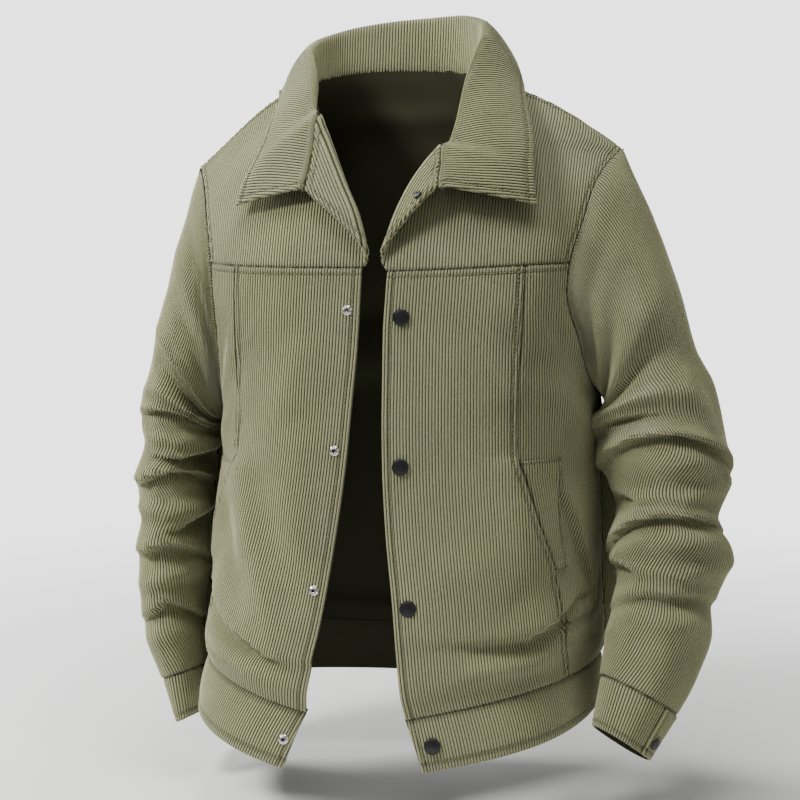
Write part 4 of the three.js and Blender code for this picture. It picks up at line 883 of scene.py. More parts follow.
class Piece:
    """One cut piece of cloth: a surface, its rows, their limits across and the line its ribs follow."""

    def __init__(self, name, surface, rows, low, high, zero, way, edges, thickness=CLOTH, offset=0.0,
                 smooth_surface=None, lift=None, seed=1.0, rough=1.0, even=False, square=False):
        self.name = name
        rows = np.asarray(rows, float)
        count = len(rows)
        flat = smooth_surface or surface
        low, high, zero = (np.broadcast_to(np.asarray(v, float), (count,)) for v in (low, high, zero))
        start, end = np.minimum(low, zero), np.maximum(high, zero)
        t = np.linspace(0, 1, 241)
        across = start[:, None] + (end - start)[:, None] * t
        samples = flat(across, rows[:, None] + 0 * across)
        length = width_across(samples) if square else cumulative(samples)
        if even:
            length = length * (np.median(length[:, -1]) / length[:, -1])[:, None]
        at = lambda i, value: np.interp(value, across[i], length[i])
        origin = np.array([at(i, zero[i]) for i in range(count)])
        s0 = np.array([at(i, low[i]) for i in range(count)]) - origin
        s1 = np.array([at(i, high[i]) for i in range(count)]) - origin
        first, last = math.floor(s0.min() / PITCH) - 1, math.ceil(s1.max() / PITCH) + 1
        ribs = np.arange(first, last)
        marks = np.concatenate([((ribs[:, None] + PHASE) * PITCH).ravel(), [last * PITCH]])
        rib = np.concatenate([np.tile(RIB, len(ribs)), RIB[:1]])
        columns = len(marks)
        s = np.clip(marks[None, :], s0[:, None], s1[:, None])
        place = np.stack([np.interp(s[i] + origin[i], length[i], across[i]) for i in range(count)])
        ids = np.arange(count)[:, None] * columns + np.arange(columns)[None, :]
        ids = np.where(marks[None, :] <= s0[:, None], ids[:, :1], ids)
        ids = np.where(marks[None, :] >= s1[:, None], ids[:, -1:], ids)
        quads = np.stack([ids[:-1, :-1], ids[:-1, 1:], ids[1:, 1:], ids[1:, :-1]], -1).reshape(-1, 4)
        quads = quads[~((quads[:, 0] == quads[:, 1]) & (quads[:, 2] == quads[:, 3]))]
        points = surface(place, rows[:, None] + 0 * place).reshape(-1, 3)
        normals = vertex_normals(points, quads) * way
        r = np.concatenate([[0], np.cumsum(np.median(np.linalg.norm(
            np.diff(points.reshape(count, columns, 3), axis=0), axis=-1), axis=1))])
        span = r[-1]
        r = r[:, None] + 0 * s
        d = dict(start=s - s0[:, None], end=s1[:, None] - s, first=r, last=span - r)
        rise = gentle(s, r, seed) * rough * smooth(np.minimum(np.minimum(d["start"], d["end"]),
                                                              np.minimum(d["first"], d["last"])) / 16 + 0.1)
        skin, under, calm, shade = 0 * s, 0 * s, 0 * s + 1, 0 * s
        net = points.reshape(count, columns, 3)
        # The shade added below is painted shade: in seams, along stitch lines and over the tucked cloth.
        for side, (kind, *stitches) in edges.items():  # dips, turned edges and stitch lines, with their shade
            if kind == "seam":
                skin += seam_dip(d[side])
                shade += 0.85 * painted_shade_line(d[side], 0)
                rise += pucker(d[side], net)
                calm = np.minimum(calm, 0.35 + 0.65 * smooth(d[side] / 3))
            if kind == "tucked":
                skin += tucked_under(d[side])
                # Painted shade also covers all of the band that tucks under the panels.
                shade += 0.85 * (painted_shade_line(d[side], TUCK) + (d[side] < TUCK))
                rise += pucker(np.abs(d[side] - TUCK), net)
                calm = np.minimum(calm, 0.35 + 0.65 * smooth((d[side] - TUCK) / 3))
            if kind == "turned":
                skin += turned_edge(d[side])
                under += turned_edge(d[side])
            for stitch in stitches:
                skin += stitch_groove(d[side], stitch)
                shade += 0.65 * painted_shade_line(d[side], stitch, 0.9)
                rise += 0.5 * pucker(np.abs(d[side] - stitch), net) * smooth(d[side] / 3)
                skin += 0.35 * smooth(d[side] / 2) * smooth((stitch - d[side]) / 2)
                calm = np.minimum(calm, 1 - 0.4 * np.exp(-((d[side] - stitch) / 1.2) ** 2))
        if lift is not None:
            rise = rise + lift(place, rows[:, None] + 0 * place, s, r, d)
        points = points + normals * (rise.ravel() + offset)[:, None]
        normals = vertex_normals(points, quads) * way
        bed = points.copy()
        skin = skin + rib[None, :] * calm
        outer = points + normals * skin.ravel()[:, None]
        inner = points - normals * (thickness + under).ravel()[:, None]
        total = count * columns
        quads = quads if way > 0 else quads[:, ::-1]
        wide = ids[:, ::4]
        lining = np.stack([wide[:-1, :-1], wide[1:, :-1], wide[1:, 1:], wide[:-1, 1:]], -1).reshape(-1, 4)
        lining = lining[~((lining[:, 0] == lining[:, 3]) & (lining[:, 1] == lining[:, 2]))] + total
        rim = [np.stack([ids[:-1, 0], ids[1:, 0], ids[1:, 0] + total, ids[:-1, 0] + total], -1),
               np.stack([ids[1:, -1], ids[:-1, -1], ids[:-1, -1] + total, ids[1:, -1] + total], -1)]
        for row, turn in ((0, 1), (-1, -1)):
            top, low_ids = ids[row], wide[row] + total
            group = np.repeat(low_ids[:-1], 4)
            fan = [top[1:], top[:-1], group, group] if turn > 0 else [top[:-1], top[1:], group, group]
            rim.append(np.stack(fan, -1))
            last_top = top[4::4]
            close = ([low_ids[1:], last_top, low_ids[:-1], low_ids[:-1]] if turn > 0
                     else [last_top, low_ids[1:], low_ids[:-1], low_ids[:-1]])
            rim.append(np.stack(close, -1))
        rim = np.concatenate(rim)
        if way < 0:
            lining, rim = lining[:, ::-1], rim[:, ::-1]
        self.points = np.concatenate([outer, inner])
        # The outer face's painted shade, kept as the mesh attribute named seam.
        self.shade = np.concatenate([np.minimum(shade, 0.9).ravel(), np.zeros(total)])
        uv = np.stack([s / PITCH, r / PITCH], -1).reshape(-1, 2)
        self.uv = np.concatenate([uv, uv])
        self.parts = [(quads, 0), (rim, 0), (lining, 1)]
        self.grid = dict(bed=bed.reshape(count, columns, 3), normals=normals.reshape(count, columns, 3),
                         s=s, r=r, rows=rows)
        hidden = TUCK * sum(kind == "tucked" for kind, *_ in edges.values())
        self.cut = (float(np.max(s1) - np.min(s0)), float(span - hidden))
        self.area = float(((s1 - s0)[:-1] + (s1 - s0)[1:]) @ np.diff(r[:, 0]) / 2 - hidden * (s1 - s0)[0])

    def mesh(self, materials):
        polygons, slots = [], []
        for quads, slot in self.parts:
            a, b, c, d = quads.T
            fine = (a != b) & (b != c) & (c != d) & (d != a) & (a != c) & (b != d)
            whole = quads[fine]
            polygons.append(whole)
            slots.append(np.full(len(whole), slot))
            rest = quads[~fine]
            for tri in (rest[:, [0, 1, 2]], rest[:, [0, 2, 3]]):
                a, b, c = tri.T
                tri = tri[(a != b) & (b != c) & (c != a)]
                polygons.append(np.concatenate([tri, np.full((len(tri), 1), -1)], 1))
                slots.append(np.full(len(tri), slot))
        polygons, slots = np.concatenate(polygons), np.concatenate(slots)
        return make_mesh(f"worn_{self.name}", self.points, polygons, slots, self.uv, materials, shade=self.shade)


def make_mesh(name, points, polygons, slots, uv, materials, sharp=62, shade=None):
    """Blender object from points in mm; polygons hold four ids, the last -1 in a triangle."""
    used = np.unique(polygons[polygons >= 0])
    new = np.full(len(points), -1)
    new[used] = np.arange(len(used))
    sizes = np.where(polygons[:, 3] < 0, 3, 4)
    loops = polygons.ravel()[polygons.ravel() >= 0]
    mesh = bpy.data.meshes.new(name)
    mesh.vertices.add(len(used))
    mesh.vertices.foreach_set("co", (points[used] / 1000).astype(np.float32).ravel())
    mesh.loops.add(len(loops))
    mesh.loops.foreach_set("vertex_index", new[loops].astype(np.int32))
    mesh.polygons.add(len(polygons))
    starts = np.concatenate([[0], np.cumsum(sizes)[:-1]])
    mesh.polygons.foreach_set("loop_start", starts.astype(np.int32))
    mesh.polygons.foreach_set("material_index", slots.astype(np.int32))
    mesh.update(calc_edges=True)
    mesh.polygons.foreach_set("use_smooth", np.ones(len(polygons), bool))
    if uv is not None:
        layer = mesh.uv_layers.new(name="wale")
        layer.uv.foreach_set("vector", uv[loops].astype(np.float32).ravel())
    if shade is not None:
        # The attribute named seam holds painted shade for seams, stitch lines and tucked cloth.
        mesh.attributes.new("seam", "FLOAT", "POINT").data.foreach_set("value", shade[used].astype(np.float32))
    if sharp:
        mesh.set_sharp_from_angle(angle=math.radians(sharp))
    for material in materials:
        mesh.materials.append(material)
    mesh.validate()
    thing = bpy.data.objects.new(name, mesh)
    bpy.context.scene.collection.objects.link(thing)
    return thing


def across_at_x(side, level, x):
    """Place across a front at which it passes a given x, level by level."""
    low, high = np.zeros_like(level), np.ones_like(level)
    for _ in range(26):
        middle = (low + high) / 2
        short = SIGN[side] * (front_point(side, middle, level)[..., 0] - x) < 0
        low, high = np.where(short, middle, low), np.where(short, high, middle)
    return (low + high) / 2


def seam_across(side, level):
    """Place of the upright seam across a front."""
    level = np.asarray(level, float)
    return across_at_x(side, level, read(UPRIGHT_SEAM[side], "level", level, "x"))


# The slanted pocket mouths: levels, how far the edge stands off, over which width, and how softly it ends
POCKET_BOTTOM, POCKET_TOP, POCKET_LIFT, POCKET_REACH, POCKET_END = -482, -366, 3.6, 46, 14


def pocket_share(level):
    """1 along the pocket mouth, 0 above and below it."""
    above = (level - POCKET_BOTTOM + POCKET_END / 2) / POCKET_END
    below = (POCKET_TOP + POCKET_END / 2 - level) / POCKET_END
    return smooth(above) * smooth(below)


def pocket_mouth(place, level, s, r, d):
    """The panel's edge stands off the pocket facing."""
    return POCKET_LIFT * pocket_share(level) * smooth(1 - d["end"] / POCKET_REACH)


def facing_width(level):
    """Share of a front that the pocket facing covers: wide at the top of the slant, narrow at its foot."""
    up = np.clip((level - POCKET_BOTTOM) / (POCKET_TOP - POCKET_BOTTOM), 0, 1)
    return mix(16, 44, up) / 236


def yoke_surface(side):
    """Front yoke, places from -1 to 0 being the turned-out lapel."""
    def surface(across, level):
        along = np.clip((level - YOKE_LEVEL) / (ROLL_TOP_LEVEL - YOKE_LEVEL), 0, 1)
        turned = lapel_point(side, along, np.clip(-across, 0, 1) * lapel_width(along))
        return np.where((across < 0)[..., None], turned, front_point(side, np.maximum(across, 0), level))
    return surface


def both_sides(point_of):
    """Surface over -1 to 1, the wearer's right half being negative."""
    def surface(across, level):
        left = point_of("left", np.maximum(across, 0), level)
        right = point_of("right", np.maximum(-across, 0), level)
        return np.where((across >= 0)[..., None], left, right)
    return surface


back_surface = both_sides(lambda side, across, level: back_point(side, 1 - across, level))


def sleeve_surface(side, folded=True):
    """Over -0.5 to 0.5 round the sleeve, the seam under the arm at both ends."""
    return lambda turn, run: sleeve_point(side, turn, run, folded)


FOLDS_START = 228  # run below which a sleeve's folds need closer rows
RIB_LINE = {"left": 134.0, "right": 146.0}  # x at which a side panel's ribs run upright
YOKE_RIB_LINE = 95.0  # and the same of the yokes
pieces = {}


def add_piece(name, *values, **options):
    pieces[name] = Piece(name, *values, **options)


def edges(start, end, first, last):
    """Kind of each edge, with the distances of its stitch lines."""
    return dict(start=start, end=end, first=first, last=last)


for side, out in SIGN.items():
    on_front = lambda a, b, side=side: front_point(side, a, b)
    levels = row_places(BAND_LEVEL, YOKE_LEVEL - 0.1, 5.4, (6, 405))
    seam = seam_across(side, levels)
    upright = across_at_x(side, levels, out * RIB_LINE[side] + 0 * levels)
    add_piece(f"front_panel_{side}", on_front, levels, 0, seam, 0, out, lift=pocket_mouth, seed=1.3 + out,
              edges=edges(("turned", 7), ("seam", 6.5), ("seam",), ("seam", 6)))
    add_piece(f"front_side_{side}", on_front, levels, seam, 1, upright, out, seed=2.1 + out,
              edges=edges(("seam",), ("seam",), ("seam",), ("seam", 6)))

    yoke_rows = row_places(YOKE_LEVEL, 0, 5.2, (-YOKE_LEVEL - 6,))
    share = np.clip((yoke_rows - YOKE_LEVEL) / (ROLL_TOP_LEVEL - YOKE_LEVEL), 0, 1)
    turned_out = np.where((share > 0) & (share < 1), -1.0, 0.0)
    zero = across_at_x(side, yoke_rows, out * YOKE_RIB_LINE + 0 * yoke_rows)
    add_piece(f"front_yoke_{side}", yoke_surface(side), yoke_rows, turned_out, 1, zero, out, seed=3.2 + out,
              edges=edges(("turned",), ("seam", 6), ("seam",), ("seam", 6)))

    facing_rows = row_places(YOKE_LEVEL + 1.5, ROLL_TOP_LEVEL - 1, 4.6)
    add_piece(f"lapel_facing_{side}", yoke_surface(side), facing_rows, -1, 0.14, 0, -out, thickness=FACING,
              offset=CLOTH + SEAM_GAP + FACING, seed=4.4 + out, rough=0.5,
              edges=edges(("turned", 6), ("turned",), ("turned",), ("seam",)))

    pocket_rows = row_places(POCKET_BOTTOM + 4, POCKET_TOP - 2, 5.2)
    start = seam_across(side, pocket_rows) + 0.007
    add_piece(f"pocket_facing_{side}", on_front, pocket_rows, start, start + facing_width(pocket_rows), 1, out,
              thickness=FACING, offset=0.45 + FACING, seed=5.5 + out, rough=0.2,
              edges=edges(("seam",), ("turned", 2.6), ("turned",), ("turned", 2.6)))

    end = SLEEVE[side]["run"][-1]
    upper, lower = row_places(0, FOLDS_START, 7, (6,)), row_places(FOLDS_START, end, 4.3)
    runs = np.concatenate([upper[:-4], lower[:1], lower[3:]])
    add_piece(f"sleeve_{side}", sleeve_surface(side), runs, -0.5, 0.5, 0, out, seed=6.6 + out, square=True,
              smooth_surface=sleeve_surface(side, False), edges=edges(("seam",), ("seam",), ("seam", 6), ("seam",)))

    downs = row_places(0, CUFF_HEIGHT, 4.6, (CUFF_HEIGHT - 6,)) / CUFF_HEIGHT
    add_piece(f"cuff_{side}", lambda a, b, side=side: cuff_point(side, a, b), downs, 0, 1 + CUFF_LAP, 0.5, out,
              thickness=BAND_CLOTH, seed=7.7 + out, rough=0.5, even=True,
              edges=edges(("turned", 5), ("turned", 5), ("seam",), ("turned", 6)))

back_rows = row_places(BAND_LEVEL, 0, 7, (-BAND_LEVEL - 6,))
add_piece("back", back_surface, back_rows, -1, 1, 0, -1, seed=0.7,
          edges=edges(("seam",), ("seam",), ("seam",), ("seam", 6)))

band_rows = row_places(-TUCK, BAND_HEIGHT, 4.4, (TUCK + BAND_HEIGHT - 10,)) / BAND_HEIGHT
add_piece("hem_band", band_point, band_rows, 0, 1, 0.5, -1, thickness=BAND_CLOTH, seed=8.8, rough=0.6, even=True,
          edges=edges(("turned", 6), ("turned", 6), ("tucked",), ("turned", 9)))

leaf_rows = 2 + row_places(0, 100, 5.2, (91,))[1:] / 100
collar_rows = np.concatenate([[-0.3], np.linspace(0, 1, 9), np.linspace(1, 2, 6)[1:], leaf_rows])
add_piece("collar", both_sides(collar_point), collar_rows, -1, 1, 0, 1, thickness=COLLAR_CLOTH, seed=9.9,
          rough=0.7, edges=edges(("turned", 7), ("turned", 7), ("turned",), ("turned", 5)))


# Materials
def new_material(name):
    material = bpy.data.materials.new(name)
    material.use_nodes = True
    tree = material.node_tree
    return material, tree, tree.nodes["Principled BSDF"]


def node(tree, kind, **values):
    made = tree.nodes.new(kind)
    for key, value in values.items():
        if key in made.inputs:
            made.inputs[key].default_value = value
        else:
            setattr(made, key, value)
    return made


def maths(tree, operation, first, second=None):
    made = tree.nodes.new("ShaderNodeMath")
    made.operation = operation
    for socket, value in zip(made.inputs, (first, second)):
        if value is None:
            continue
        if isinstance(value, (int, float)):
            socket.default_value = value
        else:
            tree.links.new(value, socket)
    return made.outputs[0]


def blend(tree, factor, first, second, kind="MIX"):
    made = tree.nodes.new("ShaderNodeMix")
    made.data_type = "RGBA"
    made.blend_type = kind
    for name, value in (("Factor", factor), ("A", first), ("B", second)):
        kind_of_socket = "VALUE" if name == "Factor" else "RGBA"
        socket = next(s for s in made.inputs if s.name == name and s.type == kind_of_socket)
        if isinstance(value, (int, float, tuple)):
            socket.default_value = value
        else:
            tree.links.new(value, socket)
    return next(s for s in made.outputs if s.type == "RGBA")


def corduroy(name, pile, groove_weave_and_shade):
    """Ribs of cut pile: pale crowns, grooves darkened with painted shade, short breaks along each rib and a soft
    sheen.
    """
    material, tree, shader = new_material(name)
    link = tree.links.new
    uv = node(tree, "ShaderNodeUVMap", uv_map="wale")
    split = node(tree, "ShaderNodeSeparateXYZ")
    link(uv.outputs[0], split.inputs[0])
    across, along = split.outputs[0], split.outputs[1]
    rib = maths(tree, "FRACT", across)
    from_crown = maths(tree, "ABSOLUTE", maths(tree, "SUBTRACT", rib, 0.5))
    groove = node(tree, "ShaderNodeMapRange", interpolation_type="SMOOTHSTEP")
    groove.inputs["From Min"].default_value = 0.26
    groove.inputs["From Max"].default_value = 0.45
    link(from_crown, groove.inputs["Value"])
    place = node(tree, "ShaderNodeCombineXYZ")
    link(across, place.inputs[0])
    link(maths(tree, "MULTIPLY", along, 1.9), place.inputs[1])
    beads = node(tree, "ShaderNodeTexNoise", Scale=2.6, Detail=2.0, Roughness=0.6)
    link(place.outputs[0], beads.inputs["Vector"])
    nap = node(tree, "ShaderNodeTexCoord")
    patches = node(tree, "ShaderNodeTexNoise", Scale=14.0, Detail=3.0, Roughness=0.55)
    link(nap.outputs["Object"], patches.inputs["Vector"])
    fibres = node(tree, "ShaderNodeTexNoise", Scale=900.0, Detail=2.0, Roughness=0.7)
    link(nap.outputs["Object"], fibres.inputs["Vector"])
    shades = [maths(tree, "MULTIPLY", maths(tree, "SUBTRACT", noise.outputs["Fac"], 0.5), strength)
              for noise, strength in ((beads, 2.5), (patches, 0.5), (fibres, 0.35))]
    # The grooves take their weave's colour, darkened with painted shade.
    dark = blend(tree, groove.outputs[0], pile, groove_weave_and_shade)
    light = maths(tree, "ADD", maths(tree, "ADD", maths(tree, "ADD", shades[0], shades[1]), shades[2]), 1.0)
    grey = node(tree, "ShaderNodeCombineXYZ")
    for socket in grey.inputs:
        link(light, socket)
    colour = blend(tree, 1.0, dark, grey.outputs[0], "MULTIPLY")
    # Painted shade: the attribute named seam darkens the colour along seams, stitch lines and under the panels.
    seam = node(tree, "ShaderNodeAttribute", attribute_name="seam")
    colour = blend(tree, maths(tree, "MULTIPLY", seam.outputs["Fac"], 0.85), colour, PAINTED_SEAM_SHADE)
    link(colour, shader.inputs["Base Color"])
    for socket, value in NAP.items():
        shader.inputs[socket].default_value = value
    height = maths(tree, "ADD", maths(tree, "MULTIPLY", beads.outputs["Fac"], 0.7),
                   maths(tree, "MULTIPLY", fibres.outputs["Fac"], 0.35))
    height = maths(tree, "SUBTRACT", height, maths(tree, "MULTIPLY", groove.outputs[0], 0.45))
    bump = node(tree, "ShaderNodeBump", Strength=0.9, Distance=0.0008)
    link(height, bump.inputs["Height"])
    link(bump.outputs[0], shader.inputs["Normal"])
    return material


def plain(name, colour, rough, metal=0.0, specular=0.5):
    material, _, shader = new_material(name)
    values = {"Base Color": (*colour, 1), "Roughness": rough, "Metallic": metal, "Specular IOR Level": specular}
    for socket, value in values.items():
        shader.inputs[socket].default_value = value
    return material


# The second colour is the grooves' weave colour, darkened with painted shade.
# The third colour is painted shade for seams and stitch lines.
PILE, DEEP_WEAVE_AND_SHADE, PAINTED_SEAM_SHADE = (0.280, 0.281, 0.150, 1), (0.038, 0.037, 0.018, 1), (0.012, 0.011, 0.006, 1)
NAP = {"Roughness": 0.92, "Specular IOR Level": 0.12, "Sheen Weight": 0.5, "Sheen Roughness": 0.42,
       "Sheen Tint": (0.88, 0.92, 0.80, 1)}
cloth = corduroy("corduroy", PILE, DEEP_WEAVE_AND_SHADE)
lining = plain("corduroy inside", (0.036, 0.035, 0.020), 0.95, specular=0.1)
thread = plain("thread", (0.205, 0.195, 0.105), 0.6, specular=0.3)
cap_metal = plain("black lacquered metal", (0.008, 0.008, 0.009), 0.34, specular=0.45)
stud_metal = plain("nickel", (0.66, 0.66, 0.65), 0.24, metal=1.0)
# The floor of a stud's hole is painted shade.
hole_shade = plain("stud hole painted shade", (0.03, 0.03, 0.03), 0.6)


def finish_piece(thing, node_name):
    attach(thing, "root")
    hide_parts(node_name)


# Each piece's mesh in its worn shape, fixed to the root in place of its solid.
for name, piece in pieces.items():
    thing = piece.mesh([cloth, lining])
    finish_piece(thing, name)


# Snaps: turned metal parts on the front edges, the lapel and the cuffs
def lathe(profile, point, normal, count=40):
    """Points and polygons of a profile (radius, height) turned about the normal."""
    normal = unit(np.asarray(normal, float))
    side = unit(np.cross(normal, (0.3, 0.1, 1.0)))
    up = np.cross(normal, side)
    angle = np.linspace(0, 2 * np.pi, count, endpoint=False)
    ring = np.cos(angle)[:, None] * side + np.sin(angle)[:, None] * up
    rows = [point + ring * r + normal * h for r, h in profile]
    points = np.concatenate(rows)
    i = np.arange(len(profile) - 1)[:, None] * count
    j = np.arange(count)[None, :]
    quads = np.stack([i + j, i + (j + 1) % count, i + count + (j + 1) % count, i + count + j], -1).reshape(-1, 4)
    return points, quads


def round_profile(corners, cut=0.35, steps=4):
    """Profile with its corners rounded."""
    corners = [np.array(c, float) for c in corners]
    made = [corners[0]]
    for a, b, c in zip(corners, corners[1:], corners[2:]):
        reach = min(cut, np.linalg.norm(b - a) * 0.45, np.linalg.norm(c - b) * 0.45)
        p, q = b + unit(a - b) * reach, b + unit(c - b) * reach
        for t in np.linspace(0, 1, steps):
            made.append((1 - t) ** 2 * p + 2 * t * (1 - t) * b + t * t * q)
    made.append(corners[-1])
    return made


def snap(name, profiles, point, normal, materials):
    points, polygons, slots, done = [], [], [], 0
    for k, profile in enumerate(profiles):
        some, quads = lathe(profile, point, normal)
        points.append(some)
        polygons.append(quads + done)
        slots.append(np.full(len(quads), k))
        done += len(some)
    return make_mesh(name, np.concatenate(points), np.concatenate(polygons), np.concatenate(slots), None,
                     materials, sharp=50)


def cap_profile(diameter):
    """A cap with a rolled rim round a low dome."""
    r = diameter / 2
    return round_profile([(0.05, 0.1), (r - 0.9, 0.1), (r, 0.9), (r, 1.7), (r - 0.6, 2.5), (r - 1.4, 2.6),
                          (r - 1.8, 2.45), (r - 2.6, 2.75), (0.05, 3.3)], 0.5)


def stud_profiles(diameter):
    """A stud's ring and the floor of its hole, coloured near black as painted shade."""
    r = diameter / 2
    hole = r * 0.36
    return [round_profile([(hole, 0.4), (hole, 3), (r * 0.62, 3), (r * 0.74, 1.5), (r, 0.8), (r, 0.02),
                           (hole, 0.02)], 0.35),
            [(hole, 0.5), (0.05, 0.5)]]


def row_length(side, level):
    return float(cumulative(front_point(side, np.linspace(0, 1, 25), np.full(25, float(level))))[-1])


# Distance from the front edge and level, and on the band distance and share of its height
PANEL_SNAPS = {"left": [(15, -233), (15, -372), (13, -504)], "right": [(10.5, -226), (10.5, -357), (10.5, -487)]}
BAND_SNAPS = {"left": (17, 0.52), "right": (9, 0.5)}
BAND_LENGTH = 1130
CUFF_SNAP = 1.035, 0.7  # turn and share of the cuff's height
LAPEL_SNAP = 0.5, 0.78  # along the roll line, and share of the lapel's width there
at = lambda value: np.array(float(value))


def place_snap(side, number, point, normal):
    point = point + normal * SEAM_GAP
    if side == "left":
        thing = snap(f"metal_cap_{number}", [cap_profile(CAP_DIAMETER)], point, normal, [cap_metal])
        finish_piece(thing, f"snap_cap_{number}")
    else:
        profiles = stud_profiles(STUD_DIAMETER)
        thing = snap(f"metal_stud_{number}", profiles, point, normal, [stud_metal, hole_shade])
        finish_piece(thing, f"snap_stud_{number}")


for side in ("left", "right"):
    for i, (inset, level) in enumerate(PANEL_SNAPS[side]):
        across = inset / row_length(side, level)
        point = front_point(side, at(across), at(level))
        place_snap(side, i + 1, point, body_normal(front_point, side, at(across), at(level)))
    inset, down = BAND_SNAPS[side]
    place = inset / BAND_LENGTH if side == "left" else 1 - inset / BAND_LENGTH
    normal = -around(band_point, at(place), at(down), 0.004, 0.1)
    place_snap(side, 4, band_point(at(place), at(down)), normal)
    cuff_of = lambda a, b, side=side: cuff_point(side, a, b)
    turn, down = (at(value) for value in CUFF_SNAP)
    normal = around(cuff_of, turn, down, 0.01, 0.05)
    point = cuff_of(turn, down)
    end = CUFF_END[side]
    ring_middle = np.array([(end["out_x"] + end["in_x"]) / 2, end["y"], point[2]])
    normal = normal * np.sign(np.dot(normal, point - ring_middle))
    thing = snap(f"metal_cuff_{side}", [cap_profile(CUFF_CAP_DIAMETER)], point + normal * 0.6, normal, [cap_metal])
    finish_piece(thing, f"snap_cuff_{side}")

along, out = at(LAPEL_SNAP[0]), at(LAPEL_SNAP[1] * float(lapel_width(LAPEL_SNAP[0])))
on_lapel = lambda a, b: lapel_point("left", a, b)
normal = around(on_lapel, along, out, 0.01, 0.5)
normal = normal * -np.sign(normal[1])
point = on_lapel(along, out) + normal * (CLOTH + FACING + 0.6)
thing = snap("metal_lapel", [cap_profile(LAPEL_CAP_DIAMETER)], point, normal, [cap_metal])
finish_piece(thing, "snap_lapel")


# Topstitching: short rounded threads sunk into the cloth along lines beside the edges
def grid_at(piece, row, s):
    """Point and normal of a piece's own net at a row number and a distance along the row, both fractional."""
    g = piece.grid
    row = np.clip(row, 0, len(g["rows"]) - 1.001)
    i = row.astype(int)
    t = (row - i)[:, None]
    columns = [(name, axis) for name in ("bed", "normals") for axis in range(3)]
    found = [np.array([[np.interp(s[n], g["s"][k], g[name][k][:, axis]) for name, axis in columns]
                       for n, k in enumerate(lines)]) for lines in (i, i + 1)]
    both = mix(found[0], found[1], t)
    return both[:, :3], unit(both[:, 3:])


def thread_line(piece, side, inset, first, last, out=0.35, count=400):
    """Path of stitches along one edge of a piece, first to last being shares of that edge."""
    g = piece.grid
    s0, s1, r = g["s"][:, 0], g["s"][:, -1], g["r"][:, 0]
    numbers = np.arange(len(r), dtype=float)
    if side in ("start", "end"):
        edge, inwards = (s0, 1) if side == "start" else (s1, -1)
        at_r = np.linspace(mix(0, r[-1], first), mix(0, r[-1], last), count)
        row = np.interp(at_r, r, numbers)
        s = np.interp(at_r, r, edge) + inwards * inset
    else:
        at_r = inset if side == "first" else r[-1] - inset
        row = np.full(count, np.interp(at_r, r, numbers))
        a, b = np.interp(at_r, r, s0), np.interp(at_r, r, s1)
        s = np.linspace(mix(a, b, first), mix(a, b, last), count)
    points, normals = grid_at(piece, row, s)
    return points + normals * out, normals


def bar_tack(piece, level, out=0.6, count=60):
    """Path of the stitches that bar the end of a pocket mouth."""
    rows, s = piece.grid["rows"], piece.grid["s"]
    number = int(np.argmin(np.abs(rows - level)))
    row = np.full(count, number / (len(rows) - 1) * (len(rows) - 1))
    points, normals = grid_at(piece, row, np.linspace(s[number, -1] - 8, s[number, -1] - 1, count))
    return points + normals * out, normals


def stitch_mesh(lines, pitch=4.1, length=2.9, thick=0.46):
    """Threads with pointed, sunken ends: rings of six round a short bowed path."""
    shares = np.array([-0.5, -0.36, 0, 0.36, 0.5])
    girth = np.array([0.25, 0.85, 1, 0.85, 0.25]) * thick
    sink = np.array([-0.55, -0.12, 0, -0.12, -0.55])
    angles = np.linspace(0, 2 * np.pi, 6, endpoint=False)
    points, quads, done = [], [], 0
    for path, normals in lines:
        along = cumulative(path)
        count = int(along[-1] / pitch)
        if count < 1:
            continue
        middles = (np.arange(count) + 0.5) * along[-1] / count
        near = lambda values, where: np.stack([np.interp(where, along, values[:, k]) for k in range(3)], -1)
        centre, up = near(path, middles), unit(near(normals, middles))
        ahead = unit(near(path, middles + 1.2) - near(path, middles - 1.2))
        aside = unit(np.cross(ahead, up))
        turned = (np.cos(angles)[None, :, None] * aside[:, None] + np.sin(angles)[None, :, None] * up[:, None])
        rings = np.stack([(centre + ahead * share * length + up * down)[:, None] + wide * turned
                          for share, wide, down in zip(shares, girth, sink)], 1)
        n, rows, sides = rings.shape[:3]
        base = np.arange(n)[:, None, None] * rows * sides
        i = np.arange(rows - 1)[None, :, None] * sides
        j = np.arange(sides)[None, None, :]
        k = (j + 1) % sides
        quads.append(np.stack(np.broadcast_arrays(base + i + j, base + i + k, base + i + sides + k,
                                                  base + i + sides + j), -1).reshape(-1, 4) + done)
        points.append(rings.reshape(-1, 3))
        done += len(points[-1])
    return np.concatenate(points), np.concatenate(quads)


# Stitch lines of each piece: the edge, the distance from it in mm, and where they start and end as shares of it
SEWN = {
    "collar": [("start", 7, 0.35, 0.99), ("end", 7, 0.35, 0.99), ("last", 5, 0.01, 0.99)],
    "hem_band": [("last", 9, 0.006, 0.994), ("start", 6, 0.06, 0.8), ("end", 6, 0.06, 0.8)],
    "back": [("last", 6, 0.02, 0.98)],
}
for side in ("left", "right"):
    SEWN[f"front_panel_{side}"] = [("start", 7, 0, 1), ("end", 6.5, 0, 1), ("last", 6, 0.04, 0.96)]
    SEWN[f"front_side_{side}"] = [("last", 6, 0.08, 0.99)]
    SEWN[f"front_yoke_{side}"] = [("end", 6, 0, 0.97), ("last", 6, 0.1, 0.96)]
    SEWN[f"lapel_facing_{side}"] = [("start", 6, 0.05, 0.95)]
    SEWN[f"pocket_facing_{side}"] = [("end", 2.6, 0.03, 0.97), ("last", 2.6, 0.05, 0.95)]
    SEWN[f"sleeve_{side}"] = [("first", 6, 0.01, 0.99)]
    SEWN[f"cuff_{side}"] = [("last", 6, 0.02, 0.98), ("start", 5, 0.1, 0.85), ("end", 5, 0.1, 0.85)]

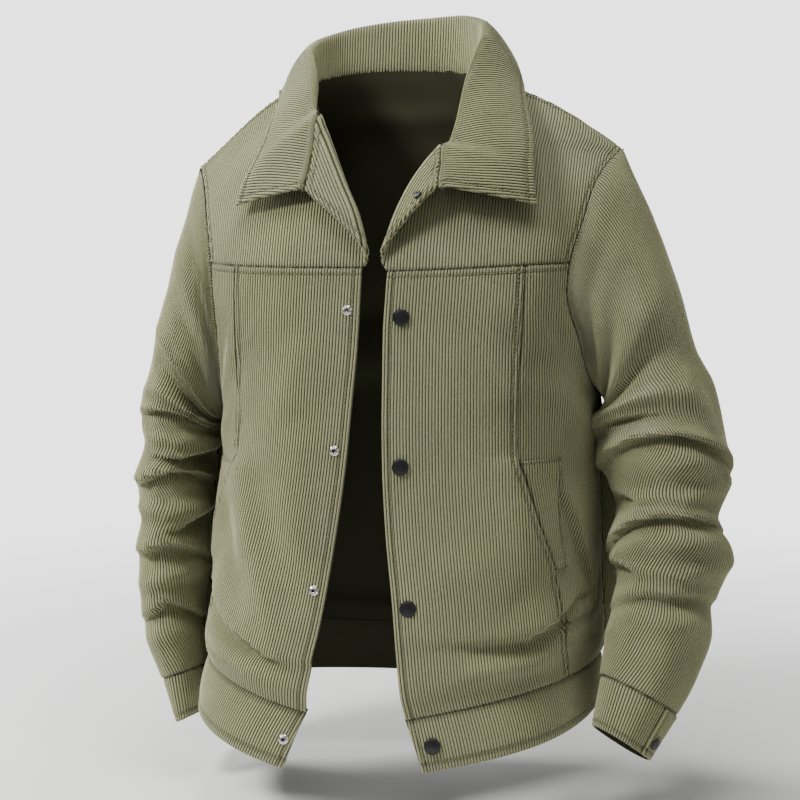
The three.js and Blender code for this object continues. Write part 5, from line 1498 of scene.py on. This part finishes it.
for name, lines in SEWN.items():
    paths = [thread_line(pieces[name], *line) for line in lines]
    if name.startswith("front_panel"):
        paths += [bar_tack(pieces[name], level) for level in (POCKET_TOP, POCKET_BOTTOM)]
    points, quads = stitch_mesh(paths)
    thing = make_mesh(f"stitches_{name}", points, quads, np.zeros(len(quads), int), None, [thread], sharp=None)
    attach(thing, "root")


# Stage: camera as in the photo, a pale floor and soft light from the upper left
scene = bpy.context.scene


def at_target(thing, place, target):
    place, target = mathutils.Vector(place), mathutils.Vector(target)
    thing.location = place
    thing.rotation_mode = "QUATERNION"
    thing.rotation_quaternion = (target - place).to_track_quat("-Z", "Y")


# In metres: what the camera looks at, and where it stands round that
TARGET = (-0.005, 0.0, -0.33)
AZIMUTH, ELEVATION, DISTANCE = math.radians(12), math.radians(8), 2.2
FLOOR_LEVEL, FLOOR_REACH = -0.72, 6
FADE_START, FADE_END = 0.75, 1.7  # distances between which the floor fades into the white room
ROOM_SEEN, ROOM_LIGHT = 2.6, 0.2
LIGHTS = {  # place, target, size and power
    "key": ((-1.6, -1.5, 1.7), (0, 0, -0.25), 0.7, 92),
    "fill": ((2.4, -1.6, 0.6), (0, 0, -0.35), 1.8, 9),
    "top": ((0.1, -0.5, 1.7), (0, 0, -0.1), 1.0, 26),
    "rim left": ((-2.3, 0.35, 0.8), (0, 0, -0.3), 0.9, 78),
    "rim right": ((2.2, 1.4, 0.7), (0, 0, -0.3), 1.2, 12),
}
lens = bpy.data.cameras.new("camera")
lens.sensor_width = 36
lens.lens = 99
lens.clip_start = 0.05
lens.clip_end = 50
camera = bpy.data.objects.new("camera", lens)
scene.collection.objects.link(camera)
at_target(camera, (TARGET[0] + DISTANCE * math.sin(AZIMUTH) * math.cos(ELEVATION),
                   TARGET[1] - DISTANCE * math.cos(AZIMUTH) * math.cos(ELEVATION),
                   TARGET[2] + DISTANCE * math.sin(ELEVATION)), TARGET)
scene.camera = camera


for name, (place, target, size, power) in LIGHTS.items():
    light = bpy.data.lights.new(name, "AREA")
    light.shape = "DISK"
    light.size = size
    light.energy = power
    thing = bpy.data.objects.new(name, light)
    scene.collection.objects.link(thing)
    at_target(thing, place, target)

world = bpy.data.worlds.new("white room")
world.use_nodes = True
tree = world.node_tree
room = tree.nodes["Background"]
room.inputs[0].default_value = (1, 1, 1, 1)
rays = tree.nodes.new("ShaderNodeLightPath")
strength = maths(tree, "ADD", maths(tree, "MULTIPLY", rays.outputs["Is Camera Ray"], ROOM_SEEN), ROOM_LIGHT)
tree.links.new(strength, room.inputs[1])
scene.world = world

floor_mesh = bpy.data.meshes.new("floor")
corners = [(x * FLOOR_REACH, y * FLOOR_REACH, FLOOR_LEVEL) for x, y in ((-1, -1), (1, -1), (1, 1), (-1, 1))]
floor_mesh.from_pydata(corners, [], [(0, 1, 2, 3)])
floor = bpy.data.objects.new("floor", floor_mesh)
pale = plain("pale floor", (0.86, 0.86, 0.85), 0.8, specular=0.2)
tree = pale.node_tree
place = tree.nodes.new("ShaderNodeTexCoord")
reach = tree.nodes.new("ShaderNodeVectorMath")
reach.operation = "LENGTH"
tree.links.new(place.outputs["Object"], reach.inputs[0])
fade = node(tree, "ShaderNodeMapRange", interpolation_type="SMOOTHSTEP")
fade.inputs["From Min"].default_value = FADE_START
fade.inputs["From Max"].default_value = FADE_END
tree.links.new(reach.outputs["Value"], fade.inputs["Value"])
joined = tree.nodes.new("ShaderNodeMixShader")
tree.links.new(fade.outputs[0], joined.inputs[0])
tree.links.new(tree.nodes["Principled BSDF"].outputs[0], joined.inputs[1])
tree.links.new(tree.nodes.new("ShaderNodeBsdfTransparent").outputs[0], joined.inputs[2])
tree.links.new(joined.outputs[0], tree.nodes["Material Output"].inputs[0])
floor_mesh.materials.append(pale)
scene.collection.objects.link(floor)
